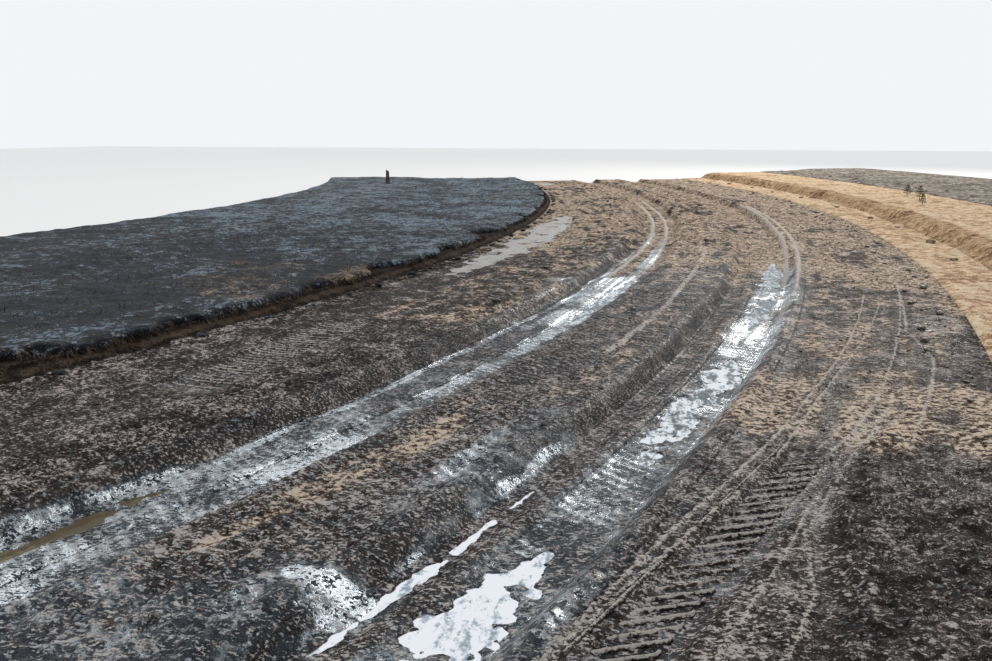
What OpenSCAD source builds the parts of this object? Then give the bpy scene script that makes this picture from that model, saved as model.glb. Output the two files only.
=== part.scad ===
// Section of a rutted, muddy forest track on a bend, built from the layers, ridges, ruts,
// tyre prints, puddles and verge pieces that make up the ground there.
// +Y runs along the track at its middle, +X points away from the bend's centre, +Z is up,
// and the underside lies at z = 0. Cross-sections are drawn in s and z, where s is the
// distance outwards from the crown of the ridge between the ruts.

/* [Section] */
// Radius of the bend at the crown between the ruts
bend_r = 32760; // [30000:10:40000]
// Angle that the section sweeps
sweep_deg = 50; // [47:0.5:54]
// Lengths that each strip above the slab is made in, so that plain hulls follow the bend
lengths = 12; // [8:1:16]
// Thickness of the subsoil under everything
subsoil_t = 200; // [120:10:500]
// Thickness of the packed sand roadbed
roadbed_t = 120; // [60:10:200]
// Thickness of the mud over the roadbed
mud_t = 180; // [160:5:260]

/* [Ruts] */
// Width of the ridge between the ruts, from rut edge to rut edge
ridge_w = 920; // [800:10:1200]
// Width of the left rut at its edges
rut_left_w = 760; // [700:10:900]
// Width of the right rut at its edges
rut_right_w = 780; // [720:10:900]
// Depth of the ruts below the mud beside them
rut_depth = 90; // [80:5:140]
// Run of a rut's sloping side
rut_side_w = 80; // [30:5:90]
// Width of the mud rib left between twin tyres
rib_w = 120; // [80:5:140]
// Height of that rib
rib_h = 45; // [25:5:60]
// Width of the narrow wheel lane on the ridge side of the right rut
right_lane_w = 140; // [120:5:180]
// Width of a berm pressed up beside a rut
berm_w = 130; // [100:5:160]
// Height of a berm over the mud
berm_h = 35; // [25:5:70]

/* [Mud beside the ruts] */
// Width of the churned mud left of the left rut
churned_left_w = 450; // [380:10:600]
// Width of the flatter mud between that and the scarp
shoulder_left_w = 1450; // [1350:10:1800]
// Width of the mud right of the right rut
shoulder_right_w = 1470; // [1300:10:1900]
// Height of the furrows in churned mud
furrow_h = 22; // [10:1:35]
// Furrows across the ridge between the ruts
ridge_furrows = 4; // [2:1:6]
// Furrows across the cloddy mud right of the narrow wheel's groove
clod_furrows = 3; // [2:1:4]

/* [Left verge] */
// Width of the left verge
verge_left_w = 6350; // [5000:50:7500]
// Height of the verge soil over the mud
scarp_h = 60; // [40:5:120]
// Run of the scarp's slope
scarp_w = 160; // [100:10:260]
// Thickness of the turf
turf_t = 70; // [40:5:110]
// Rise of the verge towards the trees
verge_rise = 70; // [20:5:150]
// How far the root mat hangs over the scarp
turf_lip = 50; // [20:5:80]
// Bites that have crumbled out of the turf's edge
bites = 16; // [8:1:20]
// Radius of the largest bite
bite_r = 420; // [300:10:500]

/* [Right bank and verge] */
// Width of the sand path beside the mud
path_w = 760; // [600:10:1000]
// Height of the sand path over the mud
path_h = 22; // [10:2:40]
// Run of the cut sand bank
bank_w = 400; // [250:10:600]
// Height of the bank over the path
bank_h = 190; // [100:10:300]
// Width of the bare sand above the bank
sand_w = 2000; // [1500:50:2500]
// Width of the litter and straw beyond it
litter_w = 4240; // [3000:50:4500]
// Thickness of the litter
litter_t = 40; // [20:5:80]

/* [Tyre prints] */
// Width of the clear print right of the ruts
print_w = 330; // [260:10:360]
// Length of that print
print_len = 2700; // [2000:50:2900]
// Depth of a print below the mud
print_depth = 35; // [25:1:45]
// Distance between one mud bar and the next, along the print
bar_pitch = 97; // [80:1:120]
// Width of a mud bar
bar_w = 26; // [18:1:34]
// Angle between a bar and the direction of travel
bar_lean = 39.5; // [35:0.5:50]
// Length of the kinked end of a bar
kink_len = 45; // [25:5:50]
// Angle that the print turns outwards from the track
print_skew = 5.7; // [3:0.1:6.5]
// Width of the fainter print on the left shoulder
faint_w = 560; // [500:10:600]
// Length of that print
faint_len = 2400; // [2000:50:2700]
// Angle that the faint print turns towards the scarp
faint_skew = -8; // [-9:0.5:-3]
// Distance between one fine bar of the faint print and the next
faint_pitch = 60; // [56:1:72]
// How far the outer ends of the fine bars curve up the track
faint_bow = 55; // [30:5:70]
// Width of the groove that a narrow wheel left
groove_w = 90; // [60:5:110]
// Depth of that groove
groove_depth = 25; // [15:1:35]

/* [Water] */
// Clear mud between a puddle and the edge of its wheel lane
lane_margin = 25; // [15:5:40]
// Distance from the scarp's foot to the middle of the shallow puddle there
foot_pool_off = 500; // [450:10:600]
// Width of the lane that holds that puddle
foot_pool_w = 700; // [500:10:800]
// Depth of the hollow that holds a puddle
pool_depth = 34; // [20:1:40]
// Depth of the water in it
water_depth = 28; // [12:1:32]

/* [Loose pieces] */
// Radius of the largest sod fallen from the turf's edge
sod_r = 70; // [40:5:80]
// Distance between sods along the scarp's foot
sod_step = 640; // [500:20:1200]
// Radius of the largest clod
clod_r = 85; // [50:5:100]
// Distance between clods along the left of the track
clod_step_left = 720; // [500:20:1200]
// Distance between clods along the ridge
clod_step_ridge = 760; // [500:20:1200]
// Distance between clods along the right of the track
clod_step_right = 520; // [500:20:1200]
// Radius of the largest stone
stone_r = 90; // [50:5:110]
// Distance between stones along the sand path
stone_step = 1900; // [1000:50:3000]
// Height of a pine seedling
seedling_h = 380; // [250:10:500]
// Height of the broken stump
stump_h = 400; // [250:10:500]
// Radius of the stump's stem
stump_r = 55; // [35:5:80]
// Radius of a grass tuft
tuft_r = 110; // [70:5:140]
// Distance between tufts along the left verge
tuft_step_left = 1300; // [800:50:2500]
// Distance between tufts along the right verge
tuft_step_right = 1500; // [800:50:2500]

/* [Hidden] */
$fa = 0.5;
$fs = 4;

// Levels
z_bed = subsoil_t + roadbed_t;
z_mud = z_bed + mud_t;
z_floor = z_mud - rut_depth;
z_soil = z_mud + scarp_h;
z_turf = z_soil + turf_t;
z_path = z_mud + path_h;
z_sand = z_path + bank_h;
z_litter = z_sand + litter_t;

// Stations from the ridge's crown, negative towards the bend's centre
s_ll = -ridge_w / 2 - rut_left_w;
s_lr = -ridge_w / 2;
s_rl = ridge_w / 2;
s_rr = ridge_w / 2 + rut_right_w;
s_churned = s_ll - berm_w;
s_shoulder = s_churned - churned_left_w;
s_foot = s_shoulder - shoulder_left_w;
s_scarp = s_foot - scarp_w;
s_inner = s_scarp - verge_left_w;
s_right = s_rr + berm_w;
s_path = s_right + shoulder_right_w;
s_bank = s_path + path_w;
s_sand = s_bank + bank_w;
s_litter = s_sand + sand_w;
s_outer = s_litter + litter_w;
ridge_half = ridge_w / 2 - berm_w;
half_sweep = sweep_deg / 2;
x_mid = ((bend_r + s_inner) * cos(half_sweep) + bend_r + s_outer) / 2;

// Ribs stand midway in the left rut, and one lane's width into the right one
s_rib_left = (s_ll + s_lr) / 2;
s_rib_right = s_rl + rut_side_w + right_lane_w + rib_w / 2;

// Wheel lanes that hold puddles: [centre, width]
LANES = [
    [(s_ll + rut_side_w + s_rib_left - rib_w / 2) / 2, s_rib_left - rib_w / 2 - s_ll - rut_side_w],
    [(s_rib_left + rib_w / 2 + s_lr - rut_side_w) / 2, s_lr - rut_side_w - s_rib_left - rib_w / 2],
    [s_rl + rut_side_w + right_lane_w / 2, right_lane_w],
    [(s_rib_right + rib_w / 2 + s_rr - rut_side_w) / 2, s_rr - rut_side_w - s_rib_right - rib_w / 2],
    [s_foot + foot_pool_off, foot_pool_w]];
LEFT_OUTER = 0;
LEFT_INNER = 1;
RIGHT_INNER = 2;
RIGHT_OUTER = 3;
FOOT = 4;
water_gap = 0.3;
seam_deg = 0.3 / bend_r * 180 / PI;
shore_points = 14;

// Puddles: [lane, angle where it starts, angle where it ends]
RIGHT_NEAR = [RIGHT_OUTER, -22.0, -19.4];
RIGHT_STRING = [RIGHT_INNER, -21.3, -18.6];
RIGHT_MIDDLE = [RIGHT_OUTER, -17.6, -13.6];
RIGHT_FAR = [RIGHT_OUTER, -11.8, -5.0];
LEFT_NEAR = [LEFT_OUTER, -22.3, -20.2];
LEFT_SIDE = [LEFT_OUTER, -11.2, -9.4];
LEFT_MIDDLE = [LEFT_INNER, -12.5, -8.3];
SCARP_FOOT = [FOOT, -10.2, 3.4];
VERGE_FAR = [FOOT, 20.9, 22.9];

// The clear print starts off the berm, and the groove runs just outside the print
print_gap = 45;
print_mid = -18.95;
print_bow = print_len * print_len / 8 / (bend_r + s_right);
print_swing = print_len / 2 * sin(print_skew);
s_print = s_right + print_gap + print_w / 2 + print_swing - print_bow;
s_groove = s_print + print_w / 2 + print_swing + print_bow + groove_w;
faint_gap = 40;
faint_mid = -16.9;
faint_swing = faint_len / 2 * sin(abs(faint_skew));
s_faint = s_shoulder - faint_w / 2 - faint_swing - faint_gap;
bar_h = print_depth - 7;
bar_share = 0.6;
berm_line_w = 40;
berm_line_h = 30;

// Colours
SAND = [0.66, 0.50, 0.36];
MUD = [0.26, 0.21, 0.18];
WET = [0.36, 0.36, 0.37];
TURF = [0.32, 0.36, 0.38];
STRAW = [0.68, 0.62, 0.50];
WATER = [0.80, 0.86, 0.90];
TURBID = [0.42, 0.37, 0.25];
STONE = [0.50, 0.49, 0.47];
PINE = [0.24, 0.30, 0.16];
BARK = [0.28, 0.22, 0.18];

// Repeatable scatter: a number from lo to hi for each index and channel
function scatter(i, channel, lo, hi) = lo + (hi - lo) * rands(0, 1, 1, 977 * channel + 31 * i)[0];
// Rounded crest from p to q, lifted h above the line between them
function crest(p, q, h, n = 5) = [for (i = [0:n]) p + (q - p) * i / n + [0, h * sin(180 * i / n)]];
// Furrows that fill the width from a to b at height z, with flats between them
function furrows(a, b, z, n, h) = let (pitch = (b - a) / n)
    [for (i = [0:n - 1], k = [[0.25, 0], [0.42, 1], [0.60, 0.85], [0.75, 0]])
        [a + pitch * (i + k[0]), z + h * k[1]]];

// Sweeps a cross-section round the bend, in lengths with a fine seam between them
module swept(points, n = lengths) {
    step = sweep_deg / n;
    for (i = [0:n - 1])
        translate([-x_mid, 0, 0])
            rotate_extrude(angle = i < n - 1 ? step - seam_deg : step, start = i * step - half_sweep)
                translate([bend_r, 0])
                    polygon(points);
}

// Puts its children at station s and angle t, with Y along the track and X outwards
module at(s, t, z)
    translate([-x_mid, 0, z])
        rotate(t)
            translate([bend_r + s, 0, 0])
                children();

// Layer between two stations and two heights
module layer(a, b, z0, z1)
    swept([[a, z0], [b, z0], [b, z1], [a, z1]]);

// Outline of a puddle: its two shores run along the lane, waver, and close at rounded ends
function shore(puddle, side, gap) = let (
        s = LANES[puddle[0]][0],
        half = LANES[puddle[0]][1] / 2 - lane_margin - gap,
        n = shore_points)
    [for (i = [0:n]) let (
            u = side > 0 ? i / n : 1 - i / n,
            t = puddle[1] + (puddle[2] - puddle[1]) * (1 - cos(180 * u)) / 2,
            waver = 0.8 + 0.13 * sin(side * 70 + 1700 * u) + 0.07 * sin(side * 200 + 3100 * u),
            r = bend_r + s + side * half * sqrt(sin(180 * u)) * waver)
        [r * cos(t), r * sin(t)]];

// A puddle's outline drawn up from height z, drawn in by a gap
module pool(puddle, gap, z, h)
    translate([-x_mid, 0, z])
        linear_extrude(h)
            polygon([for (side = [1, -1]) let (edge = shore(puddle, side, gap))
                for (i = [0:shore_points - 1]) edge[i]]);

// Hollow for a puddle, open at the top
module hollow(puddle, z_top)
    pool(puddle, 0, z_top - pool_depth, pool_depth + 10);

// Water standing on a hollow's floor
module water(puddle, z_top)
    pool(puddle, water_gap, z_top - pool_depth, water_depth);

// Low rounded lump that sits flat on the ground
module lump(r, h)
    rotate_extrude($fn = 32)
        polygon([[0, 0], [r, 0], [0.88 * r, 0.5 * h], [0.55 * r, 0.88 * h], [0, h]]);

// Lumps along the track, one in each step, each of them on or near one of the stations
module lumps(stations, spread, z, r, step, channel) {
    n = floor(sweep_deg * (bend_r + stations[0]) * PI / 180 / step);
    for (i = [0:n - 1]) {
        size = r * scatter(i, channel, 0.45, 1);
        t = -half_sweep + (i + scatter(i, channel + 1, 0.25, 0.75)) * sweep_deg / n;
        s = stations[floor(len(stations) * scatter(i, channel + 4, 0, 0.99))];
        at(s + scatter(i, channel + 2, -spread, spread), t, z)
            lump(size, size * scatter(i, channel + 3, 0.5, 0.8));
    }
}

// Berm pressed up beside a rut, from the rut's floor at a to the mud at b
module berm(a, b, dir)
    swept(concat([[b, z_bed], [a - dir * rut_side_w, z_bed], [a - dir * rut_side_w, z_floor]],
        crest([a, z_mud], [b, z_mud], berm_h)));

// Rib of mud standing on a rut's floor
module rib(s)
    swept(concat([[s - rib_w / 2, z_floor]],
        crest([s - rib_w / 2, z_floor + rib_h * 0.4], [s + rib_w / 2, z_floor + rib_h * 0.4], rib_h * 0.6, 4),
        [[s + rib_w / 2, z_floor]]));

// Turns its children to lie along a print whose middle is at station s and angle t
module along_print(s, t, skew, z)
    at(s, t, z)
        rotate(-skew)
            children();

// Outline of a bar of mud along a line of two or three points, mitred at the kink
function bar_outline(line, w) = let (
        last = len(line) - 1,
        runs = [for (i = [0:last - 1]) (line[i + 1] - line[i]) / norm(line[i + 1] - line[i])],
        sides = [for (v = runs) [-v[1], v[0]]],
        mitres = [for (i = [0:last]) i == 0 ? sides[0] : i == last ? sides[last - 1]
            : (sides[i - 1] + sides[i]) / (1 + sides[i - 1] * sides[i])])
    concat([for (i = [0:last]) line[i] + mitres[i] * w / 2],
        [for (i = [last:-1:0]) line[i] - mitres[i] * w / 2]);

// Bars of mud left standing between tyre lugs, spaced along a print and centred on it
module bars(line, pitch, length, h) {
    reach = max([for (p = line) p[1]]) - min([for (p = line) p[1]]) + 2 * bar_w;
    shift = (max([for (p = line) p[1]]) + min([for (p = line) p[1]])) / 2;
    n = floor((length - reach) / pitch);
    for (i = [0:n])
        translate([0, (i - n / 2) * pitch - shift, 0])
            linear_extrude(h)
                polygon(bar_outline(line, bar_w));
}

module subsoil_slab()
    color(SAND) swept([[s_inner, 0], [s_outer, 0], [s_outer, subsoil_t], [s_inner, subsoil_t]], 1);

module roadbed_sand()
    color(SAND * 0.85) layer(s_scarp, s_path, subsoil_t, z_bed);

module verge_left_soil()
    color(SAND * 0.6)
        swept([[s_scarp, subsoil_t], [s_scarp, z_soil], [s_scarp - verge_left_w * 0.45, z_soil],
            [s_scarp - verge_left_w * 0.65, z_soil + verge_rise], [s_inner, z_soil + verge_rise],
            [s_inner, subsoil_t]]);

module verge_left_turf()
    color(TURF)
        difference() {
            swept(concat([[s_scarp - verge_left_w * 0.65, z_soil + verge_rise],
                [s_scarp - verge_left_w * 0.45, z_soil], [s_scarp + turf_lip, z_soil],
                [s_scarp + turf_lip, z_soil + turf_t * 0.5],
                [s_scarp + turf_lip * 0.4, z_turf - turf_t * 0.15],
                [s_scarp - turf_lip, z_turf], [s_scarp - verge_left_w * 0.45, z_turf],
                [s_scarp - verge_left_w * 0.65, z_turf + verge_rise], [s_inner, z_turf + verge_rise],
                [s_inner, z_soil + verge_rise]]));
            for (i = [0:bites - 1])
                at(s_scarp + turf_lip + bite_r * scatter(i, 2, 0.14, 0.38),
                    -half_sweep + (i + scatter(i, 1, 0.3, 0.7)) * sweep_deg / bites, z_soil - 1)
                    cylinder(r = bite_r * scatter(i, 3, 0.55, 1), h = turf_t + 2);
        }

module scarp_left()
    color(MUD * 1.2)
        swept([[s_scarp, z_bed], [s_foot, z_bed], [s_foot, z_mud],
            [s_foot - scarp_w * 0.3, z_mud + scarp_h * 0.3],
            [s_foot - scarp_w * 0.6, z_mud + scarp_h * 0.8], [s_scarp, z_soil]]);

module sods_left()
    color(TURF * 0.8) lumps([s_foot + sod_r * 1.2], sod_r * 0.12, z_mud, sod_r, sod_step, 10);

module shoulder_left()
    color(MUD)
        difference() {
            layer(s_foot, s_shoulder, z_bed, z_mud);
            hollow(SCARP_FOOT, z_mud);
            hollow(VERGE_FAR, z_mud);
            along_print(s_faint, faint_mid, faint_skew, z_mud - print_depth)
                translate([-faint_w / 2, -faint_len / 2, 0])
                    cube([faint_w, faint_len, print_depth + 1]);
        }

module print_bars_left()
    color(MUD * 1.3)
        along_print(s_faint, faint_mid, faint_skew, z_mud - print_depth) {
            reach = faint_w / 2 - bar_w;
            bars([[-reach, faint_bow / 3], [-reach / 3, 0], [reach / 3, faint_bow / 3],
                [reach, faint_bow]], faint_pitch, faint_len, bar_h * 0.7);
        }

module churned_left()
    color(MUD)
        swept(concat([[s_churned, z_bed], [s_shoulder, z_bed], [s_shoulder, z_mud]],
            furrows(s_shoulder, s_churned, z_mud, 2, furrow_h), [[s_churned, z_mud]]));

module berm_left_outer()
    color(MUD * 1.1) berm(s_ll, s_churned, -1);

module rut_bed_left()
    color(WET)
        difference() {
            layer(s_ll + rut_side_w, s_lr - rut_side_w, z_bed, z_floor);
            hollow(LEFT_NEAR, z_floor);
            hollow(LEFT_SIDE, z_floor);
            hollow(LEFT_MIDDLE, z_floor);
        }

module rut_rib_left()
    color(MUD * 1.2) rib(s_rib_left);

module berm_left_inner()
    color(MUD * 1.1) berm(s_lr, -ridge_half, 1);

module ridge_centre()
    color(MUD * 1.15)
        swept(concat([[ridge_half, z_bed], [-ridge_half, z_bed], [-ridge_half, z_mud]],
            furrows(-ridge_half, ridge_half, z_mud, ridge_furrows, furrow_h), [[ridge_half, z_mud]]));

module berm_right_inner()
    color(MUD * 1.1) berm(s_rl, ridge_half, -1);

module rut_bed_right()
    color(WET)
        difference() {
            layer(s_rl + rut_side_w, s_rr - rut_side_w, z_bed, z_floor);
            hollow(RIGHT_NEAR, z_floor);
            hollow(RIGHT_STRING, z_floor);
            hollow(RIGHT_MIDDLE, z_floor);
            hollow(RIGHT_FAR, z_floor);
        }

module rut_rib_right()
    color(MUD * 1.2) rib(s_rib_right);

module berm_right_outer()
    color(MUD * 1.1) berm(s_rr, s_right, 1);

module shoulder_right()
    color(MUD)
        difference() {
            swept(concat([[s_path, z_bed], [s_right, z_bed], [s_right, z_mud],
                [s_groove - groove_w / 2, z_mud], [s_groove - groove_w / 4, z_mud - groove_depth],
                [s_groove + groove_w / 4, z_mud - groove_depth], [s_groove + groove_w / 2, z_mud]],
                furrows(s_groove + groove_w, s_path, z_mud, clod_furrows, furrow_h), [[s_path, z_mud]]));
            along_print(s_print, print_mid, print_skew, z_mud - print_depth)
                translate([-print_w / 2, -print_len / 2, 0])
                    cube([print_w, print_len, print_depth + 1]);
        }

module print_bars_right()
    color(MUD * 1.4)
        along_print(s_print, print_mid, print_skew, z_mud - print_depth) {
            outer = bar_w - print_w / 2;
            inner = outer + print_w * bar_share;
            bars([[outer, outer / tan(bar_lean)], [inner, inner / tan(bar_lean)],
                [inner, inner / tan(bar_lean) + kink_len]], bar_pitch, print_len, bar_h);
        }

module print_berm_right()
    color(MUD * 1.3)
        along_print(s_print, print_mid, print_skew, z_mud)
            translate([-print_w / 2 - berm_line_w / 2, print_len / 2, 0])
                rotate([90, 0, 0])
                    linear_extrude(print_len)
                        polygon(crest([-berm_line_w / 2 + 1, 0], [berm_line_w / 2 - 1, 0], berm_line_h, 4));

module sand_path_right()
    color(SAND)
        swept([[s_path, subsoil_t], [s_bank, subsoil_t], [s_bank, z_path], [s_path + path_w * 0.12, z_path],
            [s_path, z_mud]]);

module sand_bank_right()
    color([0.62, 0.40, 0.24])
        swept([[s_bank, subsoil_t], [s_sand, subsoil_t], [s_sand, z_sand],
            [s_bank + bank_w * 0.55, z_path + bank_h * 0.85], [s_bank + bank_w * 0.25, z_path + bank_h * 0.3],
            [s_bank, z_path]]);

module verge_right_sand()
    color(SAND * 1.05)
        swept([[s_sand, subsoil_t], [s_outer, subsoil_t], [s_outer, z_sand + verge_rise],
            [s_litter + litter_w * 0.5, z_sand + verge_rise], [s_litter + litter_w * 0.25, z_sand],
            [s_sand, z_sand]]);

module verge_right_litter()
    color(STRAW)
        swept([[s_litter, z_sand], [s_litter + litter_w * 0.25, z_sand],
            [s_litter + litter_w * 0.5, z_sand + verge_rise], [s_outer, z_sand + verge_rise],
            [s_outer, z_litter + verge_rise], [s_litter + litter_w * 0.5, z_litter + verge_rise],
            [s_litter + litter_w * 0.25, z_litter], [s_litter + 3 * litter_t, z_litter]]);

module puddle_right_near()
    color(WATER) water(RIGHT_NEAR, z_floor);

module puddle_right_string()
    color(WATER) water(RIGHT_STRING, z_floor);

module puddle_right_middle()
    color(WATER) water(RIGHT_MIDDLE, z_floor);

module puddle_right_far()
    color(WATER) water(RIGHT_FAR, z_floor);

module puddle_left_near()
    color(TURBID) water(LEFT_NEAR, z_floor);

module puddle_left_side()
    color(WATER) water(LEFT_SIDE, z_floor);

module puddle_left_middle()
    color(WATER) water(LEFT_MIDDLE, z_floor);

module puddle_scarp_foot()
    color(WATER) water(SCARP_FOOT, z_mud);

module puddle_verge_far()
    color(WATER) water(VERGE_FAR, z_mud);

module clods_left()
    color(MUD * 1.3) lumps([s_shoulder, s_shoulder + churned_left_w / 2], 0, z_mud,
        min(clod_r, 0.24 * churned_left_w / 2), clod_step_left, 20);

module clods_ridge() {
    pitch = 2 * ridge_half / ridge_furrows;
    color(MUD * 1.3) lumps([for (i = [1:ridge_furrows - 1]) i * pitch - ridge_half], 0, z_mud,
        min(clod_r, 0.24 * pitch), clod_step_ridge, 30);
}

module clods_right() {
    pitch = (s_path - s_groove - groove_w) / clod_furrows;
    color(MUD * 1.3) lumps([for (i = [1:clod_furrows - 1]) s_path - i * pitch], 0, z_mud,
        min(clod_r, 0.24 * pitch), clod_step_right, 40);
}

module stones_right()
    color(STONE) lumps([s_path + path_w * 0.6], path_w * 0.2, z_path, stone_r,
        stone_step, 50);

module tufts_left()
    color(STRAW) lumps([s_scarp - verge_left_w * 0.25], verge_left_w * 0.1, z_turf, tuft_r,
        tuft_step_left, 60);

module tufts_right()
    color(STRAW) lumps([s_litter + litter_w * 0.15], litter_w * 0.05, z_litter, tuft_r,
        tuft_step_right, 70);

// Seedlings: [station out from the bare sand's edge, angle, share of the full height]
SEEDLINGS = [[700, 5.6, 0.7], [1100, 7.4, 1], [1300, 9.1, 0.85]];
module seedlings_right()
    color(PINE)
        for (plant = SEEDLINGS) {
            h = seedling_h * plant[2];
            at(s_sand + plant[0], plant[1], z_sand)
                rotate_extrude($fn = 32)
                    polygon([[0, 0], [h * 0.03, 0], [h * 0.03, h * 0.18], [h * 0.34, h * 0.30],
                        [h * 0.12, h * 0.5], [h * 0.26, h * 0.56], [h * 0.08, h * 0.78],
                        [h * 0.14, h * 0.82], [0, h]]);
        }

module stump_left()
    color(BARK)
        difference() {
            at(s_scarp - verge_left_w * 0.7, 17.4, z_turf + verge_rise)
                rotate_extrude($fn = 48)
                    polygon([[0, 0], [stump_r * 1.9, 0], [stump_r * 1.3, stump_r * 0.7],
                        [stump_r, stump_r * 2], [stump_r * 0.9, stump_h], [0, stump_h]]);
            at(s_scarp - verge_left_w * 0.7, 17.4, z_turf + verge_rise + stump_h)
                rotate([0, 32, 0])
                    translate([-4 * stump_r, -4 * stump_r, 0])
                        cube([8 * stump_r, 8 * stump_r, stump_h]);
        }

subsoil_slab();
roadbed_sand();
verge_left_soil();
verge_left_turf();
scarp_left();
sods_left();
shoulder_left();
print_bars_left();
churned_left();
berm_left_outer();
rut_bed_left();
rut_rib_left();
berm_left_inner();
ridge_centre();
berm_right_inner();
rut_bed_right();
rut_rib_right();
berm_right_outer();
shoulder_right();
print_bars_right();
print_berm_right();
sand_path_right();
sand_bank_right();
verge_right_sand();
verge_right_litter();
puddle_right_near();
puddle_right_string();
puddle_right_middle();
puddle_right_far();
puddle_left_near();
puddle_left_side();
puddle_left_middle();
puddle_scarp_foot();
puddle_verge_far();
clods_left();
clods_ridge();
clods_right();
stones_right();
tufts_left();
tufts_right();
seedlings_right();
stump_left();
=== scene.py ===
"""Looks of a rutted, muddy forest track section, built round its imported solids.

Every strip of ground is a closed slab whose top follows one shared height field, so that
neighbouring strips meet. Lengths are metres, angles are degrees, and places along the track
are given as a station (metres outwards from the crown between the ruts) and an angle round
the bend.
"""

import logging
import math
from dataclasses import dataclass, field
from enum import Enum

import bpy
import numpy as np
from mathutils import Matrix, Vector


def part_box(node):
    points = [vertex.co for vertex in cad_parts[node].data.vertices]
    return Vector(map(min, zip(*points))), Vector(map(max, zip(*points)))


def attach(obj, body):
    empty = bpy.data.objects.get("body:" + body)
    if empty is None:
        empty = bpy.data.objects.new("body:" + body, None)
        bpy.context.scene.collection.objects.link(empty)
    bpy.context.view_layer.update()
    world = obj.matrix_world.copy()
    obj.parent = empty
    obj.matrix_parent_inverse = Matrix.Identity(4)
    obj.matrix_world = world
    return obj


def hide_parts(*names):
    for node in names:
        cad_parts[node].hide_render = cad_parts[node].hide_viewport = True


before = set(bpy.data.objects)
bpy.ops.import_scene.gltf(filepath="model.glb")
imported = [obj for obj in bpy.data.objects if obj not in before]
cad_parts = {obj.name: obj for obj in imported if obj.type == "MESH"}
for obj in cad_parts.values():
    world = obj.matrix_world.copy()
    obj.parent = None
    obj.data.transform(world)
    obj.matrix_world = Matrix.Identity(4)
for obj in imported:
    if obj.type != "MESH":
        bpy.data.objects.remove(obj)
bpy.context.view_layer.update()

LOG = logging.getLogger("track")
ROOT = "root"
MARKS = "marks"
TRACK_UV = "track"
LUG_PITCH = 0.078
NOISE_GAIN = 1.5
Array = np.ndarray
Pair = tuple[float, float]
Outline = list[Pair]
Triple = tuple[float, float, float]
Colour = Triple
Material = bpy.types.Material
Mesh = bpy.types.Mesh
NodeTree = bpy.types.NodeTree
Object = bpy.types.Object


# ---------------------------------------------------------------- numbers


class Mode(Enum):
    """Which of the two noise sums a layer of roughness uses."""

    SMOOTH = "smooth"
    RIDGED = "ridged"


def hashed(ix: Array, iy: Array, seed: int) -> Array:
    """Gives each lattice cell a repeatable number from 0 to 1.

    Args:
        ix: Cells along x.
        iy: Cells along y.
        seed: Seed of the numbers.

    Returns:
        The cells' numbers.
    """
    h = (ix * 374761393 + iy * 668265263 + seed * 974634777) & 0xFFFFFFFF
    h = ((h ^ (h >> 13)) * 1274126177) & 0xFFFFFFFF
    return ((h ^ (h >> 16)) & 0xFFFFFF) / float(0xFFFFFF)


def ease(x: Array) -> Array:
    """Smooth step of a share from 0 to 1."""
    return x * x * (3 - 2 * x)


def mix(a: Array, b: Array, share: Array) -> Array:
    """Blends a towards b by a share."""
    return a + (b - a) * share


def step(x: Array, low: float, high: float) -> Array:
    """Smooth step of x from 0 at low to 1 at high, also where low is the larger."""
    return ease(np.clip((x - low) / (high - low), 0, 1))


def band(x: Array, centre: Array, half: float, soft: float) -> Array:
    """1 within half of a centre, falling to 0 over a soft edge."""
    return 1 - step(np.abs(x - centre), half, half + soft)


def between(x: Array, low: float, high: float, soft: float) -> Array:
    """1 between two values, falling to 0 over a soft edge outside them."""
    return step(x, low - soft, low) * step(x, high + soft, high)


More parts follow.
